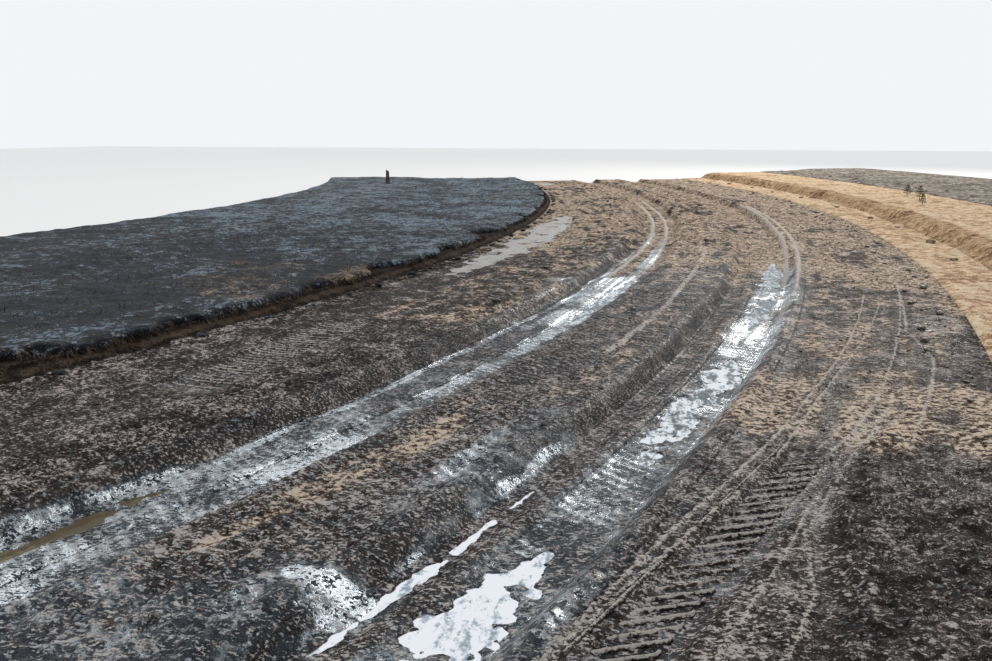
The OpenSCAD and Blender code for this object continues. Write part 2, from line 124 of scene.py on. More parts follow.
@dataclass(frozen=True)
class Noise:
    """Repeatable gradient noise over the ground plane."""

    seed: int

    def at(self, x: Array, y: Array, size: float) -> Array:
        """Samples the noise.

        Args:
            x: Places along x.
            y: Places along y.
            size: Length of a cell.

        Returns:
            Values from about -1 to 1.
        """
        u, v = x / size, y / size
        ix, iy = np.floor(u).astype(np.int64), np.floor(v).astype(np.int64)
        fx, fy = u - ix, v - iy

        def corner(dx: int, dy: int) -> Array:
            """Gives one lattice corner's share."""
            angle = hashed(ix + dx, iy + dy, self.seed) * 2 * math.pi
            return np.cos(angle) * (fx - dx) + np.sin(angle) * (fy - dy)

        low = mix(corner(0, 0), corner(1, 0), ease(fx))
        high = mix(corner(0, 1), corner(1, 1), ease(fx))
        return NOISE_GAIN * mix(low, high, ease(fy))

    def layered(self, x: Array, y: Array, size: float, octaves: int,
                mode: Mode = Mode.SMOOTH) -> Array:
        """Adds octaves of the noise, each half as large and half as strong.

        Args:
            x: Places along x.
            y: Places along y.
            size: Cell length of the coarsest octave.
            octaves: Number of octaves.
            mode: Whether the sum is smooth or has sharp crests.

        Returns:
            Values from about -1 to 1.
        """
        total, weight = np.zeros_like(x), 0.0
        for k in range(octaves):
            value = Noise(self.seed + 17 * k).at(x, y, size / 2**k)
            if mode is Mode.RIDGED:
                value = 1 - 2 * np.abs(value)
            total += value / 2**k
            weight += 1 / 2**k
        return total / weight

    def lumps(self, x: Array, y: Array, size: float) -> Array:
        """Rounded lumps packed side by side, one in each cell.

        Args:
            x: Places along x.
            y: Places along y.
            size: Length of a cell.

        Returns:
            1 on a lump's top, falling to 0 between lumps.
        """
        u, v = x / size, y / size
        ix, iy = np.floor(u).astype(np.int64), np.floor(v).astype(np.int64)
        best = np.full(x.shape, 9.0)
        for dx in (-1, 0, 1):
            for dy in (-1, 0, 1):
                cx, cy = ix + dx, iy + dy
                px = cx + 0.15 + 0.7 * hashed(cx, cy, self.seed)
                py = cy + 0.15 + 0.7 * hashed(cx, cy, self.seed + 7)
                reach = 0.75 + 0.5 * hashed(cx, cy, self.seed + 13)
                best = np.minimum(best, ((u - px) ** 2 + (v - py) ** 2) / reach)
        return np.clip(1 - best, 0, 1)


# ---------------------------------------------------------------- the ground


@dataclass
class Bend:
    """Plan of the bend, worked out from the subsoil slab."""

    crown_r: float = 32.76
    sweep: float = 50.0
    mid_x: float = field(init=False)

    def __post_init__(self) -> None:
        """Finds how far the bend's centre lies from the origin."""
        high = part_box("subsoil_slab")[1]
        self.mid_x = high.y / math.sin(math.radians(self.sweep / 2)) - high.x

    def xy(self, s: Array, t: Array) -> tuple[Array, Array]:
        """Turns stations and angles into x and y."""
        r, a = self.crown_r + s, np.radians(t)
        return r * np.cos(a) - self.mid_x, r * np.sin(a)

    def st(self, x: Array, y: Array) -> tuple[Array, Array]:
        """Turns x and y into stations and angles."""
        return np.hypot(x + self.mid_x, y) - self.crown_r, np.degrees(np.arctan2(y, x + self.mid_x))

    def arc(self, t: Array) -> Array:
        """Gives the distance along the crown of an angle."""
        return self.crown_r * np.radians(t)

    def places(self, node: str) -> tuple[Array, Array, Array]:
        """Gives a CAD node's points as stations, angles and heights."""
        co = np.array([v.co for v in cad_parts[node].data.vertices])
        return *self.st(co[:, 0], co[:, 1]), co[:, 2]

    def span(self, node: str) -> Pair:
        """Gives a CAD node's lowest and highest station."""
        s = self.places(node)[0]
        return float(s.min()), float(s.max())

    def lumps(self, node: str, gap: float = 0.05) -> Array:
        """Finds the separate lumps of a CAD node that are strung out along the track.

        Args:
            node: Name of the node.
            gap: Least distance along the track between two lumps.

        Returns:
            One row for each lump: station, angle, radius, lowest and highest height.
        """
        s, t, z = self.places(node)
        order = np.argsort(t)
        s, t, z = s[order], t[order], z[order]
        cuts = np.nonzero(np.diff(self.arc(t)) > gap)[0] + 1
        groups = np.split(np.arange(len(t)), cuts)
        return np.array([((s[g].min() + s[g].max()) / 2, (t[g].min() + t[g].max()) / 2,
                          (s[g].max() - s[g].min()) / 2, z[g].min(), z[g].max()) for g in groups])


@dataclass
class PhotoCamera:
    """Where the photographer stood on the section, and how the camera was held."""

    x: float = 0.374
    y: float = -14.247
    eye_h: float = 1.75
    heading: float = 103.5
    pitch: float = -14.8
    focal_px: float = 760.0
    frame_px: float = 992.0
    sensor: float = 36.0

    def build(self, ground_z: float) -> None:
        """Makes the scene's camera, held over mud at the height ground_z.

        Args:
            ground_z: Height of the mud.
        """
        data = bpy.data.cameras.new("photo_camera")
        data.sensor_width = self.sensor
        data.lens = self.focal_px / self.frame_px * self.sensor
        data.clip_end = 400
        camera = bpy.data.objects.new("photo_camera", data)
        camera.location = (self.x, self.y, ground_z + self.eye_h)
        camera.rotation_euler = (math.radians(90 + self.pitch), 0, math.radians(self.heading - 90))
        bpy.context.collection.objects.link(camera)
        bpy.context.scene.camera = camera


@dataclass
class Rows:
    """Angles of the rows of points across the track, closer together near the eye."""

    bend: Bend
    eye: PhotoCamera
    share: float = 0.0061
    finest: float = 0.012
    coarsest: float = 0.13
    behind: float = 0.032
    start_fine: float = -22.7

    def spacing(self, t: Array) -> Array:
        """Gives the distance between the rows at some angles.

        Args:
            t: Angles.

        Returns:
            Distances in metres.
        """
        x, y = self.bend.xy(np.ones_like(t), t)
        away = np.hypot(x - self.eye.x, y - self.eye.y)
        ahead = np.clip(self.share * away, self.finest, self.coarsest)
        return np.where(t < self.start_fine, self.behind, ahead)

    def angles(self) -> Array:
        """Lists the angles from the near end to the far end.

        Returns:
            Angles in rising order.
        """
        half = self.bend.sweep / 2
        t, out = -half, [-half]
        while t < half:
            t += math.degrees(float(self.spacing(np.array(t))) / self.bend.crown_r)
            out.append(min(t, half))
        return np.array(out)


class Lane(Enum):
    """Wheel lanes that hold water."""

    LEFT_OUTER = "left_outer"
    LEFT_INNER = "left_inner"
    RIGHT_INNER = "right_inner"
    RIGHT_OUTER = "right_outer"
    FOOT = "foot"


@dataclass(frozen=True)
class Puddle:
    """One puddle: its node, its lane and the angles between which it lies."""

    node: str
    lane: Lane
    start: float
    end: float
    slot: str = "clear_water"
    share: float = 1.0


PUDDLES = (
    Puddle("puddle_right_near", Lane.RIGHT_OUTER, -22.0, -19.4),
    Puddle("puddle_right_string", Lane.RIGHT_INNER, -21.3, -18.6, "clear_water", 0.66),
    Puddle("puddle_right_middle", Lane.RIGHT_OUTER, -17.6, -13.6),
    Puddle("puddle_right_far", Lane.RIGHT_OUTER, -11.8, -5.0),
    Puddle("puddle_left_near", Lane.LEFT_OUTER, -22.3, -20.2, "turbid_water", 0.62),
    Puddle("puddle_left_side", Lane.LEFT_OUTER, -11.2, -9.4),
    Puddle("puddle_left_middle", Lane.LEFT_INNER, -12.5, -8.3),
    Puddle("puddle_scarp_foot", Lane.FOOT, -10.2, 3.4),
    Puddle("puddle_verge_far", Lane.FOOT, 20.9, 22.9),
)


@dataclass(frozen=True)
class Print:
    """A tyre print: its middle, its turn from the track and its size.

    The ground under its bars is sunk by a share of its depth, over a soft edge.
    """

    station: float
    angle: float
    skew: float
    width: float
    length: float
    sunk: float
    soft: float
    depth: float = 0.035

    def local(self, bend: Bend, s: Array, t: Array) -> tuple[Array, Array]:
        """Turns stations and angles into places across and along the print.

        Args:
            bend: Plan of the bend.
            s: Stations.
            t: Angles.

        Returns:
            Places across and along the print.
        """
        a, k = np.radians(t - self.angle), math.radians(self.skew)
        r = bend.crown_r + s
        u, v = r * np.cos(a) - bend.crown_r - self.station, r * np.sin(a)
        return u * math.cos(k) - v * math.sin(k), u * math.sin(k) + v * math.cos(k)

    def world(self, bend: Bend, u: Array, v: Array) -> tuple[Array, Array]:
        """Turns places across and along the print into x and y.

        Args:
            bend: Plan of the bend.
            u: Places across.
            v: Places along.

        Returns:
            x and y.
        """
        k, a = math.radians(self.skew), math.radians(self.angle)
        px = u * math.cos(k) + v * math.sin(k) + bend.crown_r + self.station
        py = -u * math.sin(k) + v * math.cos(k)
        return px * math.cos(a) - py * math.sin(a) - bend.mid_x, px * math.sin(a) + py * math.cos(a)

    def mask(self, bend: Bend, s: Array, t: Array, soft: float) -> Array:
        """1 inside the print, falling to 0 over a soft edge inside its outline."""
        u, v = self.local(bend, s, t)
        return (step(self.width / 2 - np.abs(u), 0, soft)
                * step(self.length / 2 - np.abs(v), 0, 3 * soft))


PRINT_RIGHT = Print(1.687, -18.95, 5.7, 0.33, 2.7, sunk=0.56, soft=0.08)
PRINT_LEFT = Print(-2.287, -16.9, -8.0, 0.56, 2.4, sunk=0.50, soft=0.12)


@dataclass(frozen=True)
class Trace:
    """A line that a tyre's edge pressed into the mud: angles, stations, half width and height."""

    angles: tuple[float, ...]
    stations: tuple[float, ...]
    half: float = 0.007
    height: float = 0.006
    light: float = 0.75

    def mask(self, s: Array, t: Array, wander: Array) -> Array:
        """1 on the line, falling to 0 beside it and past its ends."""
        centre = np.interp(t, self.angles, self.stations) + wander
        return (np.exp(-(((s - centre) / self.half) ** 2))
                * between(t, self.angles[0], self.angles[-1], 0.5))


NEAR_LINE = (-22.4, -20.5, -19.5, -18.7, -17.8, -16.6, -15.4, -13.9, -10.7, -9.0)
INNER_LINE = (-22.0, -19.7, -19.0, -18.4, -17.7, -16.6, -15.6, -12.1, -9.6)
MEANDER = (-24.0, -21.3, -19.9, -19.2, -18.64, -18.17, -17.4, -16.87, -16.0, -14.9, -12.0, -9.0)
MEANDER_S = (2.10, 2.07, 2.06, 2.077, 1.986, 1.902, 1.857, 1.892, 1.989, 2.091, 2.19, 2.32)
WHEEL_LINE = (-21.5, -20.0, -19.2, -18.7, -18.0, -17.2)
FAR_LINE = (-12.5, -9.5, -6.0, -2.5, 1.5, 8.0)
LEFT_LINE = (-9.5, -6.0, -2.5, 1.5, 6.0, 11.0)
TRACES = (
    Trace(NEAR_LINE, (1.29, 1.37, 1.405, 1.45, 1.51, 1.60, 1.66, 1.75, 1.89, 1.97),
          0.009, 0.011, 0.85),
    Trace(INNER_LINE, (1.32, 1.435, 1.50, 1.545, 1.64, 1.68, 1.71, 1.93, 2.10), 0.008, 0.009, 0.75),
    Trace(MEANDER, MEANDER_S, 0.007, 0.006, 0.95),
    Trace((-18.3, -17.4, -16.8, -16.0, -15.0), (1.85, 1.80, 1.83, 1.92, 2.02), light=0.6),
    Trace((-17.9, -17.0, -16.3, -15.4), (1.96, 1.99, 2.05, 2.13), light=0.6),
    Trace(WHEEL_LINE, (1.80, 1.86, 1.89, 1.913, 1.90, 1.86), light=0.75),
    Trace(WHEEL_LINE, (1.66, 1.715, 1.75, 1.79, 1.80, 1.83), light=0.6),
    Trace((-16.0, -14.7, -12.9, -11.4, -9.5, -7.5, -4.0),
          (2.30, 2.385, 2.44, 2.27, 2.33, 2.36, 2.40), 0.014, 0.008, 0.7),
    Trace(FAR_LINE, (1.12, 1.24, 1.31, 1.36, 1.40, 1.42), 0.030, 0.02, 1.3),
    Trace(FAR_LINE, (0.98, 1.10, 1.16, 1.21, 1.26, 1.30), 0.030, 0.018, 1.3),
    Trace(LEFT_LINE, (-0.72, -0.68, -0.67, -0.68, -0.74, -0.80), 0.030, 0.016, 1.3),
    Trace(LEFT_LINE, (-1.02, -0.97, -0.93, -0.93, -0.97, -1.02), 0.032, 0.018, 1.3),
    Trace((-14.5, -11.0, -7.0, -4.0), (0.12, 0.08, 0.05, 0.03), 0.03, 0.014, 0.6),
)
GROOVE = Trace(MEANDER, tuple(station + 0.06 for station in MEANDER_S), 0.045, -0.012, 0.0)
RIGHT_LANE = (-24, -20, -18.5, -16, -10, -6)
LEFT_LANE = (-23, -21, -19, -16)


@dataclass
class Sample:
    """Heights and surface marks at some places on the ground."""

    h: Array
    wet: Array
    film: Array
    sun_and_sand: Array
    crest: Array

    def marks(self) -> Array:
        """Stacks the marks as colours."""
        return np.stack([self.wet, self.film, self.sun_and_sand, self.crest], -1)


@dataclass
class Survey:
    """Some places on the ground, with the noises and masks that several steps share.

    The stations in sw stray with the ruts. The masks are 1 inside what they are named for:
    small and medium where the rows are close enough for lumps of that size, deep in a hollow,
    slick in the narrow groove, and flank on a steep side.
    """

    s: Array
    t: Array
    x: Array
    y: Array
    arc: Array
    wander: Array
    sw: Array
    patch: Array
    small: Array
    medium: Array
    deep: Array
    in_print: Array
    churned: Array
    slick: Array
    flank: Array


@dataclass
class Ground:
    """Height field and surface marks of the whole section."""

    bend: Bend
    rows: Rows
    foot_lane_w: float = 0.70
    foot_lane_off: float = 0.50
    pool_depth: float = 0.034
    water_drop: float = 0.006
    berm_h: float = 0.030
    berm_half: float = 0.065
    furrow_h: float = 0.016
    furrow_w: float = 0.165
    ridge_lift: float = 0.012
    side: float = 0.08
    shore: float = 0.02
    turf_slope: Pair = (0.65, 0.45)
    litter_slope: Pair = (0.25, 0.5)
    smoothing: tuple[float, ...] = (-0.03, -0.015, 0, 0.015, 0.03)

    def __post_init__(self) -> None:
        """Reads stations and levels from the CAD nodes."""
        span = self.bend.span

        def top(node: str) -> float:
            """Gives a node's highest point."""
            return float(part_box(node)[1].z)

        self.z_bed, self.z_floor = top("roadbed_sand"), top("rut_bed_left")
        self.z_mud, self.z_soil = top("shoulder_left"), top("scarp_left")
        self.z_path, self.z_sand = top("sand_path_right"), top("sand_bank_right")
        self.z_verge, self.z_turf = top("verge_right_sand"), top("verge_left_turf")
        self.turf_t = self.z_turf - top("verge_left_soil")
        self.inner = span("verge_left_turf")[0]
        self.scarp, self.foot = span("scarp_left")
        self.bed_l, self.bed_r = span("rut_bed_left"), span("rut_bed_right")
        self.rib_l, self.rib_r = span("rut_rib_left"), span("rut_rib_right")
        self.ridge, self.churned = span("ridge_centre"), span("churned_left")
        self.mud_r = span("shoulder_right")
        self.path, self.bank = span("sand_path_right"), span("sand_bank_right")
        self.outer, self.litter = span("verge_right_sand")[1], span("verge_right_litter")[0]
        self.section = np.array(
            [*self.left_profile(), *self.middle_profile(), *self.right_profile()])

    def left_profile(self) -> Outline:
        """Lists the section from the bend's side to the furrowed mud.

        Returns:
            Stations and heights.
        """
        turf, (high, low) = self.z_soil + self.turf_t, self.turf_knees()
        return [(self.inner, self.z_turf), (high, self.z_turf), (low, turf),
                (self.scarp - 0.02, turf), (self.scarp, self.z_soil),
                (self.foot - 0.07, self.z_mud + 0.04), (self.foot, self.z_mud),
                (self.churned[1], self.z_mud)]

    def middle_profile(self) -> Outline:
        """Lists the section from the left rut's outer berm to the right rut's.

        Returns:
            Stations and heights.
        """
        mud, floor, side, half = self.z_mud, self.z_floor, self.side, self.berm_half
        berm, ridge = mud + self.berm_h, mud + self.ridge_lift
        return [(self.churned[1] + half, berm),
                (self.bed_l[0] - side, mud), (self.bed_l[0], floor),
                (self.bed_l[1], floor), (self.bed_l[1] + side, mud),
                (self.ridge[0] - half, berm), (self.ridge[0] + 0.05, ridge),
                (self.ridge[1] - 0.05, ridge), (self.ridge[1] + half, berm),
                (self.bed_r[0] - side, mud), (self.bed_r[0], floor),
                (self.bed_r[1], floor), (self.bed_r[1] + side, mud),
                (self.mud_r[0] - half, berm)]

    def right_profile(self) -> Outline:
        """Lists the section from the right mud to the far side of the sand.

        Returns:
            Stations and heights.
        """
        low, high = self.litter_knees()
        return [(self.mud_r[0], self.z_mud), (self.mud_r[1], self.z_mud),
                (self.path[0] + 0.09, self.z_path), (self.bank[0], self.z_path),
                (self.bank[0] + 0.10, self.z_path + 0.057),
                (self.bank[0] + 0.22, self.z_path + 0.16),
                (self.bank[1], self.z_sand), (low, self.z_sand),
                (high, self.z_verge), (self.outer, self.z_verge)]

    def turf_knees(self) -> Pair:
        """Gives the stations where the turf's slope starts and ends.

        Returns:
            The upper and the lower station.
        """
        width = self.scarp - self.inner
        high, low = self.turf_slope
        return self.scarp - high * width, self.scarp - low * width

    def litter_knees(self) -> Pair:
        """Gives the stations where the slope under the litter starts and ends.

        Returns:
            The lower and the upper station.
        """
        width = self.outer - self.litter
        low, high = self.litter_slope
        return self.litter + low * width, self.litter + high * width

    def lane(self, which: Lane) -> Pair:
        """Finds a lane on the section.

        Args:
            which: The lane.

        Returns:
            Its centre and width.
        """
        foot = self.foot + self.foot_lane_off
        edges = {
            Lane.LEFT_OUTER: (self.bed_l[0], self.rib_l[0]),
            Lane.LEFT_INNER: (self.rib_l[1], self.bed_l[1]),
            Lane.RIGHT_INNER: (self.bed_r[0], self.rib_r[0]),
            Lane.RIGHT_OUTER: (self.rib_r[1], self.bed_r[1]),
            Lane.FOOT: (foot - self.foot_lane_w / 2, foot + self.foot_lane_w / 2),
        }[which]
        return (edges[0] + edges[1]) / 2, edges[1] - edges[0]

    def half_width(self, puddle: Puddle, t: Array) -> Array:
        """Gives a puddle's half width at an angle, 0 past its ends."""
        u = np.clip((t - puddle.start) / (puddle.end - puddle.start), 0, 1)
        return (puddle.share * (self.lane(puddle.lane)[1] / 2 - self.shore)
                * np.sqrt(np.sin(np.pi * u)))

    def pools(self, s: Array, t: Array, ragged: Array) -> Array:
        """Gives how deep each place lies in a puddle's hollow.

        Args:
            s: Stations.
            t: Angles.
            ragged: Noise that frays the shores.

        Returns:
            0 outside the hollows, 1 on their floors.
        """
        deep = np.zeros_like(s)
        for puddle in PUDDLES:
            near = (t > puddle.start) & (t < puddle.end)
            half = self.half_width(puddle, t[near])
            half = half * (0.85 + 0.55 * Noise(239).at(self.bend.arc(t[near]), 0 * half, 0.42))
            inside = 1 - np.abs(s[near] - self.lane(puddle.lane)[0]) / np.maximum(half, 1e-4)
            sunk = step(np.minimum(inside, 0.5) + 1.1 * ragged[near], 0.05, 0.5)
            deep[near] = np.maximum(deep[near], sunk)
        return deep

    def wetness(self, s: Array, t: Array, patch: Array) -> tuple[Array, Array]:
        """Works out how wet the mud is, and how much of it a film of water covers.

        Args:
            s: Stations.
            t: Angles.
            patch: Noise of about a metre that breaks the zones up.

        Returns:
            Wetness and share of film, both from 0 to 1.
        """
        near_left, far_left = step(t, 4.0, -6.0), 0.2 * step(t, -10.0, 1.0)
        lane_mid = np.interp(t, RIGHT_LANE, (0.92, 0.92, 1.00, 1.00, 1.06, 1.15))
        lane_half = np.interp(t, RIGHT_LANE, (0.17, 0.20, 0.27, 0.24, 0.30, 0.10))
        silver_mid = np.interp(t, LEFT_LANE, (-0.98, -0.88, -0.82, -0.89))
        silver_half = np.interp(t, LEFT_LANE, (0.25, 0.31, 0.25, 0.15))
        silver = np.interp(t, (-23, -20.5, -19, -16, -9, -6), (0.86, 0.80, 0.66, 0.48, 0.42, 0))
        right = step(np.abs(s - lane_mid) / lane_half, 1.5, 0.6) * step(t, -4.5, -7.0)
        beads = 0.72 + 0.6 * Noise(139).at(self.bend.arc(t), 3.0 * s, 0.5)
        film = np.maximum.reduce([
            1.05 * band(s, -1.10 + far_left, 0.024, 0.030) * between(t, -20.0, 1.0, 1.0) * beads,
            0.76 * band(s, -0.70, 0.07, 0.07) * near_left * mix(0.75, 1.0, step(t, -20.0, -15.0)),
            silver * band(s, silver_mid, silver_half, 0.08),
            0.82 * band(s, -0.80, 0.16, 0.16) * between(t, -12.5, -8.5, 1.5),
            0.55 * band(s, -1.38, 0.10, 0.1) * between(t, -11.4, -9.8, 0.4),
            right * mix(0.64, 0.78, between(t, -12.5, -8.5, 1.5)),
            0.66 * band(s, 1.12, 0.20, 0.12) * between(t, -22.4, -19.0, 0.5),
            0.92 * band(t, 1.07 * s - 21.40, 0.08, 0.26) * between(s, 0.30, 0.60, 0.10),
            0.64 * band(t, 1.07 * s - 21.46, 0.26, 0.36) * between(s, 0.10, 0.66, 0.16),
            0.88 * band(s, 0.50, 0.012, 0.035) * between(t, -20.6, -17.6, 0.3) * beads,
            0.64 * band(s, 0.04, 0.42, 0.14) * step(t, -20.7, -21.7),
            0.50 * band(s, 0.30, 0.26, 0.14) * step(t, -19.0, -20.8),
            0.50 * band(s, 0.36, 0.16, 0.12) * between(t, -19.6, -17.0, 0.8),
            0.34 * band(s, 1.30, 0.10, 0.16) * between(t, -20.5, -17.0, 1.0),
            0.45 * between(s, 2.38, 2.74, 0.12) * between(t, -12.6, -10.4, 0.6),
            0.34 * between(s, 2.3, 2.8, 0.1) * between(t, -17.4, -16.8, 0.3)])
        film = film * (0.90 + 0.55 * patch)
        wet = np.maximum(film, 0.50 * step(t, 8.0, -9.0) * between(s, -2.9, 2.6, 0.3))
        wet = np.maximum(wet, 0.85 * between(s, -1.25, 1.4, 0.25) * step(t, 2.0, -8.0))
        return np.clip(wet + 0.15 * patch, 0, 1), np.clip(film, 0, 1)

    def sun_and_sand_share(self, s: Array, t: Array, patch: Array, streak: Array) -> Array:
        """Works out how much tan shows in the mud: sand, and painted sunlight on sunlit patches of
        mud.

        Args:
            s: Stations.
            t: Angles.
            patch: Noise of about a metre.
            streak: Noise drawn out along the track.

        Returns:
            0 for dark mud, 1 for tan sand or full painted sunlight.
        """
        sun_and_sand = np.maximum.reduce([
            0.50 * band(s, -0.14, 0.06, 0.14) * between(t, -20.8, -17.2, 0.8),
            0.45 * band(s, 0.22, 0.06, 0.16) * between(t, -16.2, -12.6, 0.8),
            0.30 * band(s, -0.48, 0.03, 0.07) * between(t, -21.0, -9.0, 1.0),
            0.80 * between(s, 2.0, 2.9, 0.2) * between(t, -15.8, -14.2, 0.8),
            0.60 * between(s, 1.15, 1.7, 0.15) * between(t, -16.4, -14.4, 0.6),
            0.28 * between(s, -0.4, 2.9, 0.3) * step(t, -18.0, -12.0),
            0.42 * band(s, 1.24, 0.05, 0.12) * between(t, -21.0, -19.4, 0.5),
            0.40 * between(s, -2.3, -1.3, 0.3) * between(t, -14.0, -6.0, 1.5),
            0.95 * between(s, -0.9, 2.9, 0.5) * between(t, -6.0, 4.0, 3.0),
            0.75 * between(s, -3.3, 2.9, 0.3) * step(t, -9.0, -3.0),
            0.42 * between(s, 1.2, 2.9, 0.4) * step(t, -14.5, -12.5),
            1.10 * between(s, 1.7, 2.9, 0.4) * step(t, -9.6, -7.4),
            1.00 * between(s, 0.5, 2.0, 0.3) * step(t, -6.5, -3.5),
            1.15 * between(s, -0.9, 2.9, 0.5) * step(t, 6.0, 12.0),
            0.75 * step(s, 2.35, 2.9) * step(t, -14.0, -9.0)])
        return np.clip(sun_and_sand * (0.75 + 1.1 * streak + 0.8 * patch), 0, 1)

    def lines(self, s: Array, t: Array, wander: Array, rough: Array) -> tuple[Array, Array]:
        """Works out the lines that tyre edges pressed into the mud.

        Args:
            s: Stations.
            t: Angles.
            wander: How far the ruts stray sideways.
            rough: Roughness of the mud.

        Returns:
            Height that the lines add, and how light they are.
        """
        height, light = np.zeros_like(s), np.zeros_like(s)
        for trace in (*TRACES, GROOVE):
            line = trace.mask(s, t, 0.5 * wander)
            height += trace.height * line * (0.75 + 0.5 * rough)
            light = np.maximum(light, trace.light * line)
        return height, light

    def profile(self, s: Array) -> Array:
        """Gives the section's height at some stations, without relief."""
        return np.interp(s, *self.section.T)

    def survey(self, s: Array, t: Array) -> Survey:
        """Works out the noises and masks of some places.

        Args:
            s: Stations.
            t: Angles.

        Returns:
            The places with their noises and masks.
        """
        (x, y), arc, cell = self.bend.xy(s, t), self.bend.arc(t), self.rows.spacing(t)
        on_track = between(s, self.foot + 0.25, self.mud_r[1] - 0.25, 0.2)
        wander = 0.030 * Noise(5).at(arc, np.zeros_like(arc), 1.9)
        wander = wander + 0.014 * Noise(71).at(arc, s, 0.55)
        sw = s + wander * on_track
        ragged = 1.35 * Noise(41).layered(x, y, 0.26, 4) + 0.45 * Noise(43).layered(x, y, 0.07, 2)
        in_print = np.maximum(PRINT_RIGHT.mask(self.bend, s, t, 0.05),
                              PRINT_LEFT.mask(self.bend, s, t, 0.07))
        groove = np.interp(t, GROOVE.angles, GROOVE.stations)
        slope = np.abs(self.profile(sw + 0.03) - self.profile(sw - 0.03)) / 0.06
        return Survey(
            s, t, x, y, arc, wander, sw,
            patch=Noise(31).layered(x, y, 1.1, 3),
            small=step(cell, 0.045, 0.02),
            medium=step(cell, 0.11, 0.05),
            deep=self.pools(sw, t, ragged),
            in_print=in_print,
            churned=between(s, 2.10, 2.9, 0.10) * step(t, -14.5, -16.5),
            slick=band(s, groove, 0.06, 0.04) * step(t, -14.0, -15.5),
            flank=step(slope, 0.25, 0.60))

    def roughness(self, at: Survey) -> Array:
        """Gives the lumps and sharp crests of the mud.

        Args:
            at: The places.

        Returns:
            Roughness from about -1 to 1.
        """
        x, y = at.x, at.y
        xw, yw = x + 0.05 * Noise(211).at(x, y, 0.11), y + 0.05 * Noise(223).at(x, y, 0.11)
        return (0.30 * (Noise(43).lumps(xw, yw, 0.115) - 0.45) * at.medium
                + 0.26 * (Noise(47).lumps(xw, yw, 0.047) - 0.45) * at.small
                + 0.60 * Noise(53).layered(x, y, 0.34, 4)
                + 0.30 * Noise(59).layered(xw, yw, 0.15, 3, Mode.RIDGED) * at.small
                + 0.32 * Noise(227).layered(x, y, 0.055, 2, Mode.RIDGED) * at.small)

    def churn(self, at: Survey) -> Array:
        """Gives how high the mud's roughness stands.

        Args:
            at: The places.

        Returns:
            Height of a full step of roughness.
        """
        floor = np.maximum(between(at.sw, *self.bed_l, 0.05), between(at.sw, *self.bed_r, 0.05))
        churn = mix(0.017, 0.007, floor) + 0.010 * band(at.s, 0, 0.33, 0.1)
        churn = churn + 0.012 * between(at.s, -1.8, -1.35, 0.1)
        churn = (churn + 0.022 * at.churned) * (1 - 0.45 * at.deep) * (1 - 0.85 * at.in_print)
        return churn * (1 - 0.6 * at.slick) * (1 - 0.65 * at.flank) * 1.35

    def relief(self, at: Survey, rough: Array, churn: Array) -> Array:
        """Works out the relief of the mud: lumps, furrows, lug marks, banks and ribs.

        Args:
            at: The places.
            rough: Roughness of the mud.
            churn: Height of a full step of roughness.

        Returns:
            Heights to add.
        """
        s, t, sw, patch = at.s, at.t, at.sw, at.patch
        furrow = np.sin(2 * math.pi * sw / self.furrow_w + 1.5 * patch)
        furrow = furrow * (0.35 + 0.8 * Noise(61).at(at.arc, s, 0.9))
        ridged = np.maximum(0.8 * band(s, 0, 0.30, 0.1), between(s, -1.8, -1.38, 0.06))
        banks = np.maximum(band(s, self.bed_l[0] - 0.16, 0.03, 0.08),
                           band(s, self.bed_r[1] + 0.16, 0.03, 0.08))
        ribs = (band(sw, sum(self.rib_l) / 2, 0.02, 0.06) * (0.5 + 0.7 * patch)
                + band(sw, sum(self.rib_r) / 2, 0.02, 0.06) * (0.7 + 0.6 * patch))
        ribs = ribs * step(t, -2.0, -8.0)
        bent = 0.03 * Noise(149).at(at.x, at.y, 0.4)
        lugs = np.sin(2 * math.pi * (at.arc + 0.25 * s + bent) / LUG_PITCH)
        lugs = 0.0045 * lugs * at.small * between(s, -1.3, 1.45, 0.15) * (0.4 + 1.2 * patch)
        lugs = lugs * (1 - at.in_print) * (1 - at.flank)
        return (churn * rough + self.furrow_h * ridged * furrow + lugs - 0.004
                + 0.5 * self.berm_h * rough * banks + 0.030 * ribs)

    def crest(self, at: Survey, rough: Array, light: Array) -> Array:
        """Works out how light the mud's raised and pressed places are.

        Args:
            at: The places.
            rough: Roughness of the mud.
            light: How light the pressed lines are.

        Returns:
            0 for dark hollows, 1 and more for light crests.
        """
        pressed = np.maximum(PRINT_RIGHT.mask(self.bend, at.s, at.t, 0.05), 0.55 * at.in_print)
        shaded = 0.20 * between(at.s, self.foot, -1.25, 0.15) * step(at.t, -4.0, -12.0)
        crest = np.clip(0.5 + 0.85 * rough - 0.35 * at.churned - shaded, 0, 1)
        crest = crest * (1 - at.in_print) + 0.95 * pressed
        line = (0.5 + light) * step(light, 0.05, 0.3) * (1 - at.in_print)
        return np.maximum(crest, crest * (1 - light) + line)

    def flood(self, at: Survey, h: Array, table: Array, film: Array) -> tuple[Array, Array]:
        """Fills the low places of the mud with a film of water.

        Args:
            at: The places.
            h: Heights of the mud.
            table: Height up to which each place fills.
            film: Share of film.

        Returns:
            Heights and share of film, with the groove and the prints glazed.
        """
        under = (h < table) & (film > 0.25) & (at.deep < 0.02) & (at.slick < 0.3)
        h = np.where(under, table, h)
        film = np.where(under, np.maximum(film, 0.38 + 0.5 * film), film)
        glazed = np.maximum(0.44 * at.slick * between(at.t, -18.0, -14.8, 0.8),
                            0.47 * at.in_print * step(at.t, -17.7, -18.0))
        return h, np.maximum(film, glazed)

